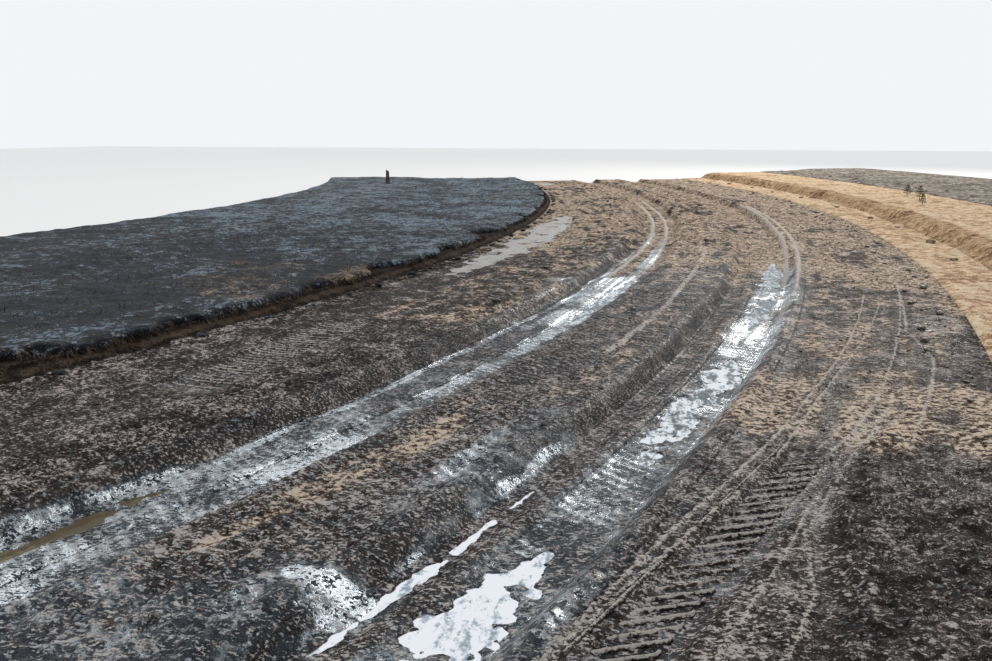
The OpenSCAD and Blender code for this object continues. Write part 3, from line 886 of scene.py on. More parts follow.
    def sample(self, s: Array, t: Array) -> Sample:
        """Works out the ground at some places.

        Args:
            s: Stations.
            t: Angles.

        Returns:
            Heights and marks.
        """
        at = self.survey(s, t)
        x, y = at.x, at.y
        mud = between(s, self.foot, self.mud_r[1], 0.03)
        sandy = step(s, self.mud_r[1] - 0.05, self.mud_r[1] + 0.1)
        base = sum(self.profile(at.sw + shift) for shift in self.smoothing) / len(self.smoothing)
        rough, churn = self.roughness(at), self.churn(at)
        h = base + mud * self.relief(at, rough, churn) - self.pool_depth * at.deep
        for spot in (PRINT_RIGHT, PRINT_LEFT):
            h = h - spot.depth * spot.sunk * spot.mask(self.bend, s, t, spot.soft)
        raised, light = self.lines(s, t, at.wander, rough)
        h = h + raised * (1 - 0.9 * at.in_print) + self.verges(s, x, y, at.medium)
        stray_s = s + 0.05 * Noise(151).layered(x, y, 0.5, 3)
        stray_t = t + 0.9 * Noise(157).layered(x, y, 0.9, 3)
        streak = Noise(37).layered(s * 5.0, at.arc, 0.8, 3)
        sun_and_sand = self.sun_and_sand_share(stray_s, stray_t, at.patch, streak)
        wet, film = self.wetness(stray_s, stray_t, at.patch)
        film = film * mud * (1 - 0.7 * at.in_print)
        h, film = self.flood(at, h, base + churn * np.clip(1.5 * film - 1.05, -1, 0.4), film)
        wet = np.maximum(np.maximum(wet, 0.75 * at.in_print), at.deep)
        crest = self.crest(at, rough, light)
        return Sample(h, wet * mud, film, np.maximum(sun_and_sand * mud, sandy), crest)

    def verges(self, s: Array, x: Array, y: Array, medium: Array) -> Array:
        """Works out the roughness of the turf, the sand and the cut bank.

        Args:
            s: Stations.
            x: Places along x.
            y: Places along y.
            medium: Share of the middle-sized lumps that the rows can hold.

        Returns:
            Heights to add.
        """
        turf = step(s, self.scarp + 0.02, self.scarp - 0.05)
        sandy = step(s, self.mud_r[1] - 0.05, self.mud_r[1] + 0.1)
        slump = between(s, self.bank[0], self.bank[1] + 0.3, 0.1)
        xw, yw = x + 0.08 * Noise(229).at(x, y, 0.3), y + 0.08 * Noise(233).at(x, y, 0.3)
        mossy = (0.030 * Noise(67).layered(x, y, 0.55, 3)
                 + 0.030 * (Noise(73).lumps(xw, yw, 0.26) - 0.4) * medium)
        loose = (0.010 * Noise(79).layered(x, y, 0.45, 3)
                 + slump * 0.035 * Noise(83).layered(x, y, 0.5, 3)
                 + 0.008 * (Noise(89).lumps(x, y, 0.13) - 0.4) * medium)
        return turf * mossy + sandy * loose


# ---------------------------------------------------------------- meshes


def add_object(name: str, mesh: Mesh) -> Object:
    """Puts a mesh into the scene as an object of the same name.

    Args:
        name: Name of the object.
        mesh: Its mesh.

    Returns:
        The object.
    """
    obj = bpy.data.objects.new(name, mesh)
    bpy.context.collection.objects.link(obj)
    return obj


def settle(mesh: Mesh, slot: str, *nodes: str,
           finish: Material | None = None) -> Object:
    """Puts a mesh into the scene as a piece that rides on the root.

    Args:
        mesh: The mesh, whose name the piece takes.
        slot: The record's material slot; not used.
        nodes: CAD nodes that the piece stands for.
        finish: The piece's material, unless its faces have one.

    Returns:
        The piece.
    """
    if finish:
        mesh.materials.append(finish)
    obj = add_object(mesh.name, mesh)
    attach(obj, ROOT)
    if nodes:
        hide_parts(*nodes)
    LOG.info("%s: %d faces", obj.name, len(mesh.polygons))
    return obj


def slab_mesh(name: str, bend: Bend, s: Array, t: Array, z: Array,
              keel: Outline) -> Mesh:
    """Makes a closed slab whose top is a grid of points and whose sides are upright.

    Args:
        name: Name of the mesh.
        bend: Plan of the bend.
        s: Stations, one row for each angle.
        t: Angles of the rows.
        z: Heights of the top.
        keel: Stations and heights of the underside, whose outer stations follow the top's edges.

    Returns:
        The mesh, smooth on top, with the track's UV map.
    """
    rows, cols, parts = len(t), s.shape[1], len(keel)
    low_s, low_z = (np.repeat(np.array(keel)[None, :, k], rows, 0) for k in (0, 1))
    low_s[:, 0], low_s[:, -1] = s[:, 0], s[:, -1]
    ss, zz = np.concatenate([s, low_s], 1), np.concatenate([z, low_z], 1)
    tt = np.repeat(t[:, None], cols + parts, 1)
    co = np.stack([*bend.xy(ss, tt), zz], -1).reshape(-1, 3)
    index = np.arange(rows * (cols + parts)).reshape(rows, cols + parts)
    ring = np.concatenate([index[:, :cols], index[:, :cols - 1:-1], index[:, :1]], 1)
    a, b = ring[:-1], ring[1:]
    quads = np.stack([a[:, :-1], a[:, 1:], b[:, 1:], b[:, :-1]], -1)
    faces = quads.reshape(-1, 4).tolist()
    faces += [ring[0, :0:-1].tolist(), ring[-1, :-1].tolist()]
    mesh = bpy.data.meshes.new(name)
    mesh.from_pydata(co.tolist(), [], faces)
    smooth = np.zeros(len(faces), bool)
    smooth[:-2] = np.repeat((np.arange(ring.shape[1] - 1) < cols - 1)[None], rows - 1, 0).ravel()
    mesh.polygons.foreach_set("use_smooth", smooth)
    plan = np.stack([ss, bend.arc(tt)], -1).reshape(-1, 2)
    corners = np.zeros(len(mesh.loops), int)
    mesh.loops.foreach_get("vertex_index", corners)
    mesh.uv_layers.new(name=TRACK_UV).data.foreach_set("uv", plan[corners].ravel())
    return mesh


def write_marks(mesh: Mesh, marks: Array) -> None:
    """Stores marks as a colour attribute.

    Args:
        mesh: A mesh whose points come in rows.
        marks: Marks of the first points of each row.
    """
    rows, cols = marks.shape[:2]
    full = np.zeros((rows, len(mesh.vertices) // rows, 4))
    full[:, :cols] = marks
    mesh.color_attributes.new(MARKS, "FLOAT_COLOR", "POINT").data.foreach_set("color", full.ravel())


def run_nodes(obj: Object, tree: NodeTree, values: dict[str, float]) -> Mesh:
    """Runs a Geometry Nodes tree on an object, which it removes.

    Args:
        obj: The object that carries the input geometry.
        tree: The tree.
        values: Values of the tree's named inputs.

    Returns:
        The result as a plain mesh.
    """
    modifier = obj.modifiers.new("nodes", "NODES")
    modifier.node_group = tree
    for item in tree.interface.items_tree:
        if item.in_out == "INPUT" and item.name in values:
            modifier[item.identifier] = values[item.name]
    graph = bpy.context.evaluated_depsgraph_get()
    mesh = bpy.data.meshes.new_from_object(
        obj.evaluated_get(graph), preserve_all_data_layers=False, depsgraph=graph)
    bpy.data.objects.remove(obj)
    return mesh


# ---------------------------------------------------------------- node trees


class Sock:
    """A node's output that sums, scales and blends like a number."""

    def __init__(self, tree: "Tree", socket: bpy.types.NodeSocket) -> None:
        """Wraps one output of a node."""
        self.tree, self.socket = tree, socket

    def _maths(self, operation: str, *values: "Sock | float") -> "Sock":
        """Adds a Math node."""
        return self.tree.node("ShaderNodeMath", {"operation": operation}, dict(enumerate(values)))

    def __add__(self, other: "Sock | float") -> "Sock":
        """Adds."""
        return self._maths("ADD", self, other)

    __radd__ = __add__

    def __sub__(self, other: "Sock | float") -> "Sock":
        """Takes away."""
        return self._maths("SUBTRACT", self, other)

    def __rsub__(self, other: float) -> "Sock":
        """Is taken away."""
        return self._maths("SUBTRACT", other, self)

    def __mul__(self, other: "Sock | float") -> "Sock":
        """Multiplies."""
        return self._maths("MULTIPLY", self, other)

    def least(self, other: "Sock | float") -> "Sock":
        """Gives the smaller of the two."""
        return self._maths("MINIMUM", self, other)

    def most(self, other: "Sock | float") -> "Sock":
        """Gives the larger of the two."""
        return self._maths("MAXIMUM", self, other)

    def sine(self) -> "Sock":
        """Gives the sine."""
        return self._maths("SINE", self)

    def step(self, low: "Sock | float", high: "Sock | float") -> "Sock":
        """Steps smoothly from 0 at low to 1 at high."""
        return self.tree.node("ShaderNodeMapRange", {"interpolation_type": "SMOOTHSTEP"},
                              {"Value": self, "From Min": low, "From Max": high})


class Tree:
    """A node tree, built from expressions."""

    def __init__(self, tree: NodeTree) -> None:
        """Wraps an empty or a started node tree."""
        self.tree, self.nodes, self.links = tree, tree.nodes, tree.links

    def node(self, kind: str, settings: dict, inputs: dict, output: str | int = 0) -> Sock:
        """Adds a node.

        Args:
            kind: The node's type.
            settings: Its properties, set first.
            inputs: Values or sockets, by input name or number.
            output: The output to give back.

        Returns:
            The chosen output.
        """
        node = self.nodes.new(kind)
        for key, value in settings.items():
            setattr(node, key, value)
        for key, value in inputs.items():
            if isinstance(value, Sock):
                self.links.new(value.socket, node.inputs[key])
            else:
                node.inputs[key].default_value = value
        return Sock(self, node.outputs[output])

    def split(self, value: Sock) -> tuple[Sock, Sock, Sock]:
        """Splits a vector into its parts.

        Args:
            value: The vector.

        Returns:
            Its three parts.
        """
        node = self.nodes.new("ShaderNodeSeparateXYZ")
        self.links.new(value.socket, node.inputs[0])
        return tuple(Sock(self, output) for output in node.outputs)


class Group(Tree):
    """A Geometry Nodes tree, whose inputs are a geometry and some values."""

    def __init__(self, name: str, **values: str) -> None:
        """Starts the tree.

        Args:
            name: Name of the tree.
            values: Types of the values, by their names.
        """
        super().__init__(bpy.data.node_groups.new(name, "GeometryNodeTree"))
        for label, kind, way in (("Geometry", "Geometry", "INPUT"),
                                 *((label, kind, "INPUT") for label, kind in values.items()),
                                 ("Geometry", "Geometry", "OUTPUT")):
            self.tree.interface.new_socket(label, in_out=way, socket_type="NodeSocket" + kind)
        self.source = self.nodes.new("NodeGroupInput")

    def given(self, name: str) -> Sock:
        """Gives one of the tree's inputs."""
        return Sock(self, self.source.outputs[name])

    def close(self, geometry: Sock, finish: Material) -> NodeTree:
        """Dresses the geometry and makes it the tree's result.

        Args:
            geometry: The geometry, or instances of it.
            finish: Its material.

        Returns:
            The finished tree.
        """
        inputs = {"Geometry": geometry, "Material": finish}
        dressed = self.node("GeometryNodeSetMaterial", {}, inputs)
        self.links.new(dressed.socket, self.nodes.new("NodeGroupOutput").inputs[0])
        return self.tree


class Shader(Tree):
    """A material's node tree."""

    def __init__(self, name: str) -> None:
        """Starts a material with its Principled shader.

        Args:
            name: The material's name.
        """
        self.material = bpy.data.materials.new(name)
        self.material.use_nodes = True
        super().__init__(self.material.node_tree)
        self.principled = self.nodes["Principled BSDF"]
        self.place = self.node("ShaderNodeTexCoord", {}, {}, "Object")

    def noise(self, scale: float, detail: float = 3.0, rough: float = 0.55,
              place: Sock | None = None) -> Sock:
        """Gives noise over the object, whose features are about 1 / scale metres."""
        return self.node("ShaderNodeTexNoise", {}, {
            "Vector": place or self.place, "Scale": scale, "Detail": detail, "Roughness": rough})

    def streaks(self, scale: float, detail: float, rough: float) -> Sock:
        """Gives noise that is drawn out across the track, a little askew."""
        drawn = self.node("ShaderNodeMapping", {"vector_type": "TEXTURE"}, {
            "Vector": self.place, "Rotation": (0.0, 0.0, 0.24), "Scale": (2.2, 1.0, 1.0)})
        return self.noise(scale, detail, rough, drawn)

    def cells(self, scale: float) -> Sock:
        """Gives the distance to the nearest of scattered points."""
        return self.node("ShaderNodeTexVoronoi", {}, {"Vector": self.place, "Scale": scale})

    def blend(self, share: Sock | float, a: "Sock | Colour", b: "Sock | Colour") -> Sock:
        """Mixes two colours.

        Args:
            share: 0 for the first colour, 1 for the second.
            a: The first colour.
            b: The second colour.

        Returns:
            The mixed colour.
        """
        values = {0: share}
        for key, value in ((6, a), (7, b)):
            values[key] = value if isinstance(value, Sock) else (*value, 1)
        return self.node("ShaderNodeMix", {"data_type": "RGBA"}, values, 2)

    def marks(self) -> tuple[Sock, Sock, Sock, Sock]:
        """Reads wetness, film, sand with painted sunlight, and crest from the piece.

        Returns:
            The four marks.
        """
        settings = {"attribute_name": MARKS}
        colour = self.node("ShaderNodeAttribute", settings, {}, "Vector")
        return *self.split(colour), self.node("ShaderNodeAttribute", settings, {}, "Alpha")

    def track(self) -> tuple[Sock, Sock]:
        """Reads the station and the distance along the track from the UV map."""
        return self.split(self.node("ShaderNodeUVMap", {"uv_map": TRACK_UV}, {}))[:2]

    def finish(self, colour: Sock, rough: "Sock | float", height: Sock | None = None,
               metal: "Sock | float" = 0.0, coat: "Sock | float" = 0.0,
               **constants: float) -> Material:
        """Joins the results to the Principled shader.

        Args:
            colour: Base colour.
            rough: Roughness.
            height: Relief in metres for the bump, if any.
            metal: Metallic.
            coat: Coat weight.
            constants: Other inputs by name, with _ for a space.

        Returns:
            The material.
        """
        inputs = self.principled.inputs
        inputs["Specular IOR Level"].default_value = 0.08
        for key, value in (("Base Color", colour), ("Roughness", rough),
                           ("Metallic", metal), ("Coat Weight", coat)):
            if isinstance(value, Sock):
                self.links.new(value.socket, inputs[key])
            else:
                inputs[key].default_value = value
        for key, value in constants.items():
            inputs[key.replace("_", " ")].default_value = value
        if height is not None:
            relief = {"Strength": 1.0, "Distance": 1.0, "Height": height}
            bump = self.node("ShaderNodeBump", {}, relief, "Normal")
            self.links.new(bump.socket, inputs["Normal"])
        return self.material


# ---------------------------------------------------------------- finishes


@dataclass(frozen=True)
class MudFinish:
    """Mud from dry crumbs to standing film, steered by the marks, with painted sunlight, shadow,
    highlights and sky reflection in its colour.
    """

    # dark, mid and light: the mud's tones, the lightest standing in part for painted highlights on
    # lumps; brown, tan and pale: mud in painted sunlight, from painted shadow between lumps to
    # sunlit tops
    dark: Colour = (0.008, 0.006, 0.005)
    brown: Colour = (0.034, 0.021, 0.014)
    mid: Colour = (0.068, 0.051, 0.044)
    light: Colour = (0.700, 0.625, 0.585)
    line: Colour = (0.850, 0.780, 0.700)
    tan: Colour = (0.250, 0.160, 0.105)
    pale: Colour = (0.980, 0.780, 0.600)
    # film and slick: near-white and blue-grey colours of the water film, painted sky reflection;
    # the film's metallic adds real reflection on top
    film: Colour = (0.890, 0.950, 0.990)
    slick: Colour = (0.290, 0.350, 0.395)
    murk: Colour = (0.022, 0.028, 0.036)
    # painted sheen: grey-blue colour that stands for the sky reflected on wet mud
    painted_sheen: Colour = (0.540, 0.590, 0.640)

    def material(self, name: str) -> Material:
        """Builds the material.

        Args:
            name: The material's name.

        Returns:
            The material.
        """
        m = Shader(name)
        wet, film, sun_and_sand, crest = m.marks()
        broad, mid, grit = m.noise(4.5, 5, 0.70), m.noise(25, 4, 0.70), m.noise(230, 2)
        fine = m.noise(100, 4, 0.64) * 0.30 + m.streaks(76, 4, 0.66) * 1.05 - 0.175
        level = m.split(m.node("ShaderNodeTexCoord", {}, {}, "Normal"))[2].step(0.80, 0.96)
        s, v = m.track()
        bars = ((v + s * 0.25 + mid * 0.05) * (2 * math.pi / LUG_PITCH)).sine() * level
        relief = fine * 0.62 + mid * 0.38 + bars * 0.030
        water = ((film - 0.5) * 0.36 + 0.5 - relief).step(0.0, 0.030) * film.step(0.03, 0.12)
        # painted shade and light of lumps: darker and lighter clumps, stronger towards the far end
        distant = m.split(m.place)[1].step(-12.0, -2.0)
        clumps = ((m.noise(8.5, 3, 0.66) - 0.5) * (distant * 3.6 + 1.0)
                  + (broad - 0.5) * (distant * 1.6 + 3.2))
        stray = ((fine - 0.5) * 5.4 + (mid - 0.5) * 4.6) * (level * 0.45 + 0.55) + clumps
        # painted sunlight: sunny marks patches of mud that are coloured lighter and tan, as if in
        # sun
        sunny = sun_and_sand * 1.45 + ((broad - 0.5) * 2.4 + (mid - 0.5) * 1.2) * (sun_and_sand + 0.15)
        sunny = sunny.step(0.18, 0.90)
        # flakes paint shadows and sunlit tops among the lumps of the sunny patches
        flakes = m.streaks(30, 4, 0.68) * 0.58 + m.noise(30, 4, 0.68) * 0.42 - 0.5
        stray = stray + sunny * (flakes * 15.0 - stray * 0.45)
        tone = (stray * (sunny * 0.35 + 1) + bars * wet * 0.12
                + crest.least(1.2) * 0.55 + sunny * 0.48 + 0.06)
        shade = m.blend(sunny, self.dark, self.brown)
        colour = m.blend(tone.step(-0.12, 0.74), shade, m.blend(sunny, self.mid, self.tan))
        colour = m.blend(tone.step(0.66, 1.52), colour, m.blend(sunny, self.light, self.pale))
        # painted glints: small patches of wet mud coloured grey-blue as if they reflected the sky
        painted_glints = (bars * 0.30 + (fine - 0.5) * 5.0 + wet * 0.50).step(0.50, 1.20)
        painted_glints = painted_glints * wet.step(0.3, 0.8)
        colour = m.blend(painted_glints * (1 - sunny * 0.75) * 0.7, colour, self.painted_sheen)
        traced = (crest - 1.02 + (fine - 0.5) * 3.0).step(0.05, 0.50)
        colour = m.blend(traced * 0.9, colour, self.line)
        height = relief * 0.030 + bars * 0.0010 + grit * 0.0010 - m.cells(42) * 0.004
        # painted reflection: where the film is thick, its colour turns near-white like the
        # reflected sky
        painted_reflection = film * 1.20 + (broad - 0.5) * 2.2 + (mid - 0.5) * 3.4 + (fine - 0.5) * 4.4
        painted_reflection = painted_reflection.step(0.68, 1.00) * film.step(0.34, 0.56)
        # the pooled film's blue-grey slick colour is painted sky reflection
        pooled = m.blend(tone.step(0.22, 0.70), self.murk, self.slick)
        colour = m.blend(water, colour, m.blend(painted_reflection, pooled, self.film))
        rough = 0.86 - wet * 0.22 - water * 0.42 + (grit - 0.5) * 0.2
        coat = wet * 0.45 * (fine * 0.5 + mid * 0.5).step(0.49, 0.41) * (1 - sunny * 0.75)
        return m.finish(colour, rough.most(0.08), height * (1 - water * 0.8),
                        water * (painted_reflection * 0.70 + 0.18), coat, Coat_Roughness=0.22, Coat_IOR=1.5)

    def loose(self, name: str, top: Colour) -> Material:
        """Builds the material of clods and crumbs, which carry no marks.

        Args:
            name: The material's name.
            top: Colour of the lightest spots.

        Returns:
            The material.
        """
        m = Shader(name)
        mid, fine, grit = m.noise(26, 3), m.noise(95, 3), m.noise(280, 2)
        tone = (mid - 0.5) * 2.8 + (fine - 0.5) * 3.6 + 0.42
        colour = m.blend(tone.step(0.1, 0.65), self.dark, self.mid)
        colour = m.blend(tone.step(0.58, 1.05), colour, top)
        return m.finish(colour, 0.58 + (grit - 0.5) * 0.3, fine * 0.007 + grit * 0.001, 0.0,
                        fine.step(0.6, 0.4) * 0.45, Coat_Roughness=0.2)


@dataclass(frozen=True)
class SandFinish:
    """Loose or packed sand with small stones and damp patches."""

    dark: Colour
    mid: Colour
    pale: Colour
    strata: float = 0.0

    def material(self, name: str) -> Material:
        """Builds the material.

        Args:
            name: The material's name.

        Returns:
            The material.
        """
        m = Shader(name)
        big, mid, fine, grit = m.noise(1.3, 4), m.noise(9, 4, 0.6), m.noise(60, 3), m.noise(420, 2)
        tone = (mid - 0.5) * 2.8 + (fine - 0.5) * 2.4 + (big - 0.5) * 1.6 + 0.45
        if self.strata:
            level = m.split(m.place)[2]
            tone = tone + ((level + mid * 0.035) * (2 * math.pi / self.strata)).sine() * 0.22
        colour = m.blend(tone.step(0.0, 0.55), self.dark, self.mid)
        colour = m.blend(tone.step(0.45, 1.05), colour, self.pale)
        colour = m.blend((big - 0.45).step(0.0, 0.3) * 0.4, colour, self.dark)
        colour = m.blend(m.cells(55).step(0.16, 0.05) * 0.6, colour, self.dark)
        return m.finish(colour, 0.93, mid * 0.018 + fine * 0.006 + grit * 0.0010)


@dataclass(frozen=True)
class TurfFinish:
    """Moss and short dead grass, pale grey with frost and blue with painted shade, with brown and
    tan patches of dry grass.
    """

    dark: Colour = (0.006, 0.006, 0.008)
    brown: Colour = (0.029, 0.025, 0.026)
    # moss and frost: their blue tint is painted shade; the frost's paleness is its own
    moss: Colour = (0.025, 0.034, 0.051)
    frost_and_shade: Colour = (0.240, 0.322, 0.402)
    straw: Colour = (0.420, 0.300, 0.180)

    def material(self, name: str, marked: bool) -> Material:
        """Builds the material, with dry patches where the piece has marks.

        Args:
            name: The material's name.
            marked: Whether the piece has marks.

        Returns:
            The material.
        """
        m = Shader(name)
        big, mid = m.noise(1.1, 4), m.noise(6, 4, 0.65)
        fine, grit = m.noise(34, 3, 0.64), m.noise(120, 2)
        tone = ((mid - 0.5) * 2.6 + (m.noise(15, 3, 0.66) - 0.5) * 3.2
                + (fine - 0.5) * 2.6 + (grit - 0.5) * 0.8 + 0.32)
        tone = tone + (big - 0.5) * 2.2 + (m.noise(2.6, 3, 0.70) - 0.5) * 1.7
        bare = ((big - 0.5) * 1.8 + (mid - 0.5) * 1.4).step(-0.12, 0.22)
        ground = m.blend(bare, self.moss, self.brown)
        colour = m.blend(tone.step(0.05, 0.60), self.dark, ground)
        frost_and_shade, dry = tone.step(0.62, 1.05), mid
        if marked:
            frost_mark, _, dry_mark, _ = m.marks()
            frost_and_shade = (tone + frost_mark * 0.62).step(0.86, 1.24)
            dry = dry_mark + (mid - 0.5) * 1.4 + (fine - 0.5) * 1.7
        colour = m.blend(frost_and_shade * 0.85, colour, self.frost_and_shade)
        colour = m.blend(dry.step(0.50, 1.05), colour, self.straw)
        return m.finish(colour, 0.95, mid * 0.034 + fine * 0.020 + grit * 0.004, Sheen_Weight=0.15)


@dataclass(frozen=True)
class WaterFinish:
    """Standing water that shows the pale sky, clouded where the noise passes the veil's level. A
    near-white body colour is painted sky reflection.
    """

    body: Colour
    cloud: Colour
    metal: float
    rough: float = 0.06
    coat: float = 1.0
    veil: float = 0.47

    def material(self, name: str) -> Material:
        """Builds the material.

        Args:
            name: The material's name.

        Returns:
            The material.
        """
        m = Shader(name)
        along = m.node("ShaderNodeMapping", {}, {"Vector": m.place, "Scale": (1.0, 0.36, 1.0)})
        drawn = m.noise(15.0, 5.0, 0.68, along)
        cloudy = drawn * 0.50 + m.noise(4.0, 5, 0.65) * 0.30 + m.noise(46, 3) * 0.20
        murky = cloudy.step(self.veil, self.veil + 0.09)
        colour = m.blend(murky, self.body, self.cloud)
        return m.finish(colour, self.rough, m.noise(26, 2) * 0.0007,
                        (1.0 - murky) * self.metal, self.coat, Coat_Roughness=0.03)


@dataclass(frozen=True)
class PlantFinish:
    """Blades, needles and bark, drawn out along one axis where they have a grain."""

    dark: Colour
    light: Colour
    scale: float = 30.0
    grain: float = 1.0

    def material(self, name: str) -> Material:
        """Builds the material.

        Args:
            name: The material's name.

        Returns:
            The material.
        """
        m = Shader(name)
        place = m.node("ShaderNodeMapping", {},
                       {"Vector": m.place, "Scale": (1.0, 1.0, self.grain)})
        fibre = m.node("ShaderNodeTexNoise", {},
                       {"Vector": place, "Scale": self.scale, "Detail": 4.0})
        return m.finish(m.blend(fibre.step(0.36, 0.64), self.dark, self.light), 0.85, fibre * 0.005)


MUD = MudFinish().material("churned_mud")
WET_MUD = MudFinish().material("wet_mud")
CLOD_MUD = MudFinish(mid=(0.150, 0.112, 0.090)).loose("clod_mud", (0.450, 0.370, 0.305))
TURF = TurfFinish().material("frosted_turf", True)
TORN_TURF = TurfFinish().material("torn_turf", False)
SOIL = SandFinish((0.008, 0.006, 0.005), (0.036, 0.026, 0.020), (0.095, 0.069, 0.050),
                  strata=0.06).material("topsoil")
SUBSOIL = SandFinish((0.240, 0.150, 0.085), (0.400, 0.265, 0.160), (0.520, 0.380, 0.250),
                     strata=0.05).material("subsoil_sand")
PACKED = SandFinish((0.150, 0.100, 0.064), (0.270, 0.185, 0.120), (0.370, 0.270, 0.185),
                    strata=0.04).material("packed_sand")
LOOSE = SandFinish((0.330, 0.200, 0.110), (0.880, 0.620, 0.380),
                   (0.990, 0.860, 0.640)).material("loose_sand")
ORANGE = SandFinish((0.150, 0.080, 0.040), (0.600, 0.380, 0.205),
                    (0.880, 0.650, 0.400)).material("orange_sand")
LITTER = SandFinish((0.050, 0.040, 0.034), (0.290, 0.250, 0.210),
                    (0.700, 0.650, 0.570)).material("straw_litter")
STONE = SandFinish((0.150, 0.120, 0.090), (0.330, 0.270, 0.205),
                   (0.520, 0.450, 0.360)).material("field_stone")
# clear, broken and shallow water: their near-white and pale blue body colours are painted sky
# reflection, added to the real reflection of their metallic finish
CLEAR = WaterFinish((0.920, 0.930, 0.980), (0.340, 0.440, 0.520),
                    metal=0.90, veil=0.50).material("clear_water")
BROKEN = WaterFinish((0.860, 0.910, 0.950), (0.130, 0.160, 0.185),
                     metal=0.88, coat=0.15).material("broken_water")
SHALLOW = WaterFinish((0.620, 0.740, 0.800), (0.140, 0.175, 0.195),
                      metal=0.85, coat=0.05, veil=0.44).material("shallow_water")
CLOUDED = WaterFinish((0.360, 0.350, 0.330), (0.270, 0.245, 0.215),
                      metal=0.10, rough=0.30, coat=0.2).material("clouded_water")
TURBID = WaterFinish((0.110, 0.084, 0.042), (0.200, 0.165, 0.095),
                     metal=0.0, rough=0.25, coat=0.2).material("turbid_water")
GRASS = PlantFinish((0.190, 0.140, 0.080), (0.520, 0.430, 0.290)).material("dry_grass")
NEEDLES = PlantFinish((0.018, 0.030, 0.010), (0.090, 0.130, 0.045)).material("pine_needles")
# blades: their blue tint is painted shade over frosted grass
FROST_AND_SHADE_BLADES = PlantFinish((0.014, 0.017, 0.024), (0.115, 0.150, 0.195),
                      scale=5.0).material("frosted_blades")
ROOTS = PlantFinish((0.012, 0.010, 0.008), (0.150, 0.115, 0.080),
                    scale=9.0).material("hanging_roots")
BARK = PlantFinish((0.035, 0.026, 0.020), (0.190, 0.150, 0.120),
                   scale=60.0, grain=0.15).material("bark")


# ---------------------------------------------------------------- strips


def thinned(rows: Array, stride: int) -> Array:
    """Keeps every stride-th row, and the last one."""
    return np.append(rows[:-1:stride], rows[-1])


@dataclass
class Strip:
    """One strip of ground, as wide as the CAD node that it stands for."""

    node: str
    slot: str
    finish: Material
    pitch: float
    bottom: float
    stride: int = 1

    def build(self, ground: Ground, rows: Array) -> Object:
        """Makes the strip over the shared height field.

        Args:
            ground: The height field.
            rows: Angles of the rows.

        Returns:
            The finished piece.
        """
        low, high = ground.bend.span(self.node)
        t = thinned(rows, self.stride)
        across = np.linspace(low, high, max(3, round((high - low) / self.pitch) + 1))
        s = np.repeat(across[None], len(t), 0)
        sample = ground.sample(s, np.repeat(t[:, None], s.shape[1], 1))
        top, keel = self.top(ground, s, sample), self.keel(ground, low, high)
        mesh = slab_mesh(self.node + "_ground", ground.bend, s, t, top, keel)
        write_marks(mesh, sample.marks())
        return settle(mesh, self.slot, self.node, finish=self.finish)

    def keel(self, ground: Ground, low: float, high: float) -> Outline:
        """Lists the underside's stations and heights."""
        return [(low, self.bottom), (high, self.bottom)]

    def top(self, ground: Ground, s: Array, sample: Sample) -> Array:
        """Gives the heights of the strip's top."""
        return sample.h


@dataclass
class Floor(Strip):
    """A rut's floor, which keeps below the rib that stands on it."""

    inset: float = 0.012
    sink: float = 0.03

    def top(self, ground: Ground, s: Array, sample: Sample) -> Array:
        """Sinks the floor under both ribs."""
        under = [between(s, low + self.inset, high - self.inset, 0.01)
                 for low, high in (ground.rib_l, ground.rib_r)]
        return sample.h - self.sink * np.maximum(*under)


@dataclass
class Litter(Strip):
    """Straw litter over the sand, thin at its near edge."""

    buried: float = 0.01
    thinnest: float = 0.003
    thicker: float = 0.034
    taper: float = 0.18

    def keel(self, ground: Ground, low: float, high: float) -> Outline:
        """Follows the sand under the litter.

        Args:
            ground: The height field.
            low: The near station.
            high: The far station.

        Returns:
            Stations and heights.
        """
        start, end = ground.litter_knees()
        near, far = (level - self.buried for level in (ground.z_sand, ground.z_verge))
        return [(low, near), (start, near), (end, far), (high, far)]

    def top(self, ground: Ground, s: Array, sample: Sample) -> Array:
        """Lifts the sand's height by the thickness of the litter."""
        share = step(s, ground.litter, ground.litter + self.taper)
        return sample.h + self.thicker * share + self.thinnest


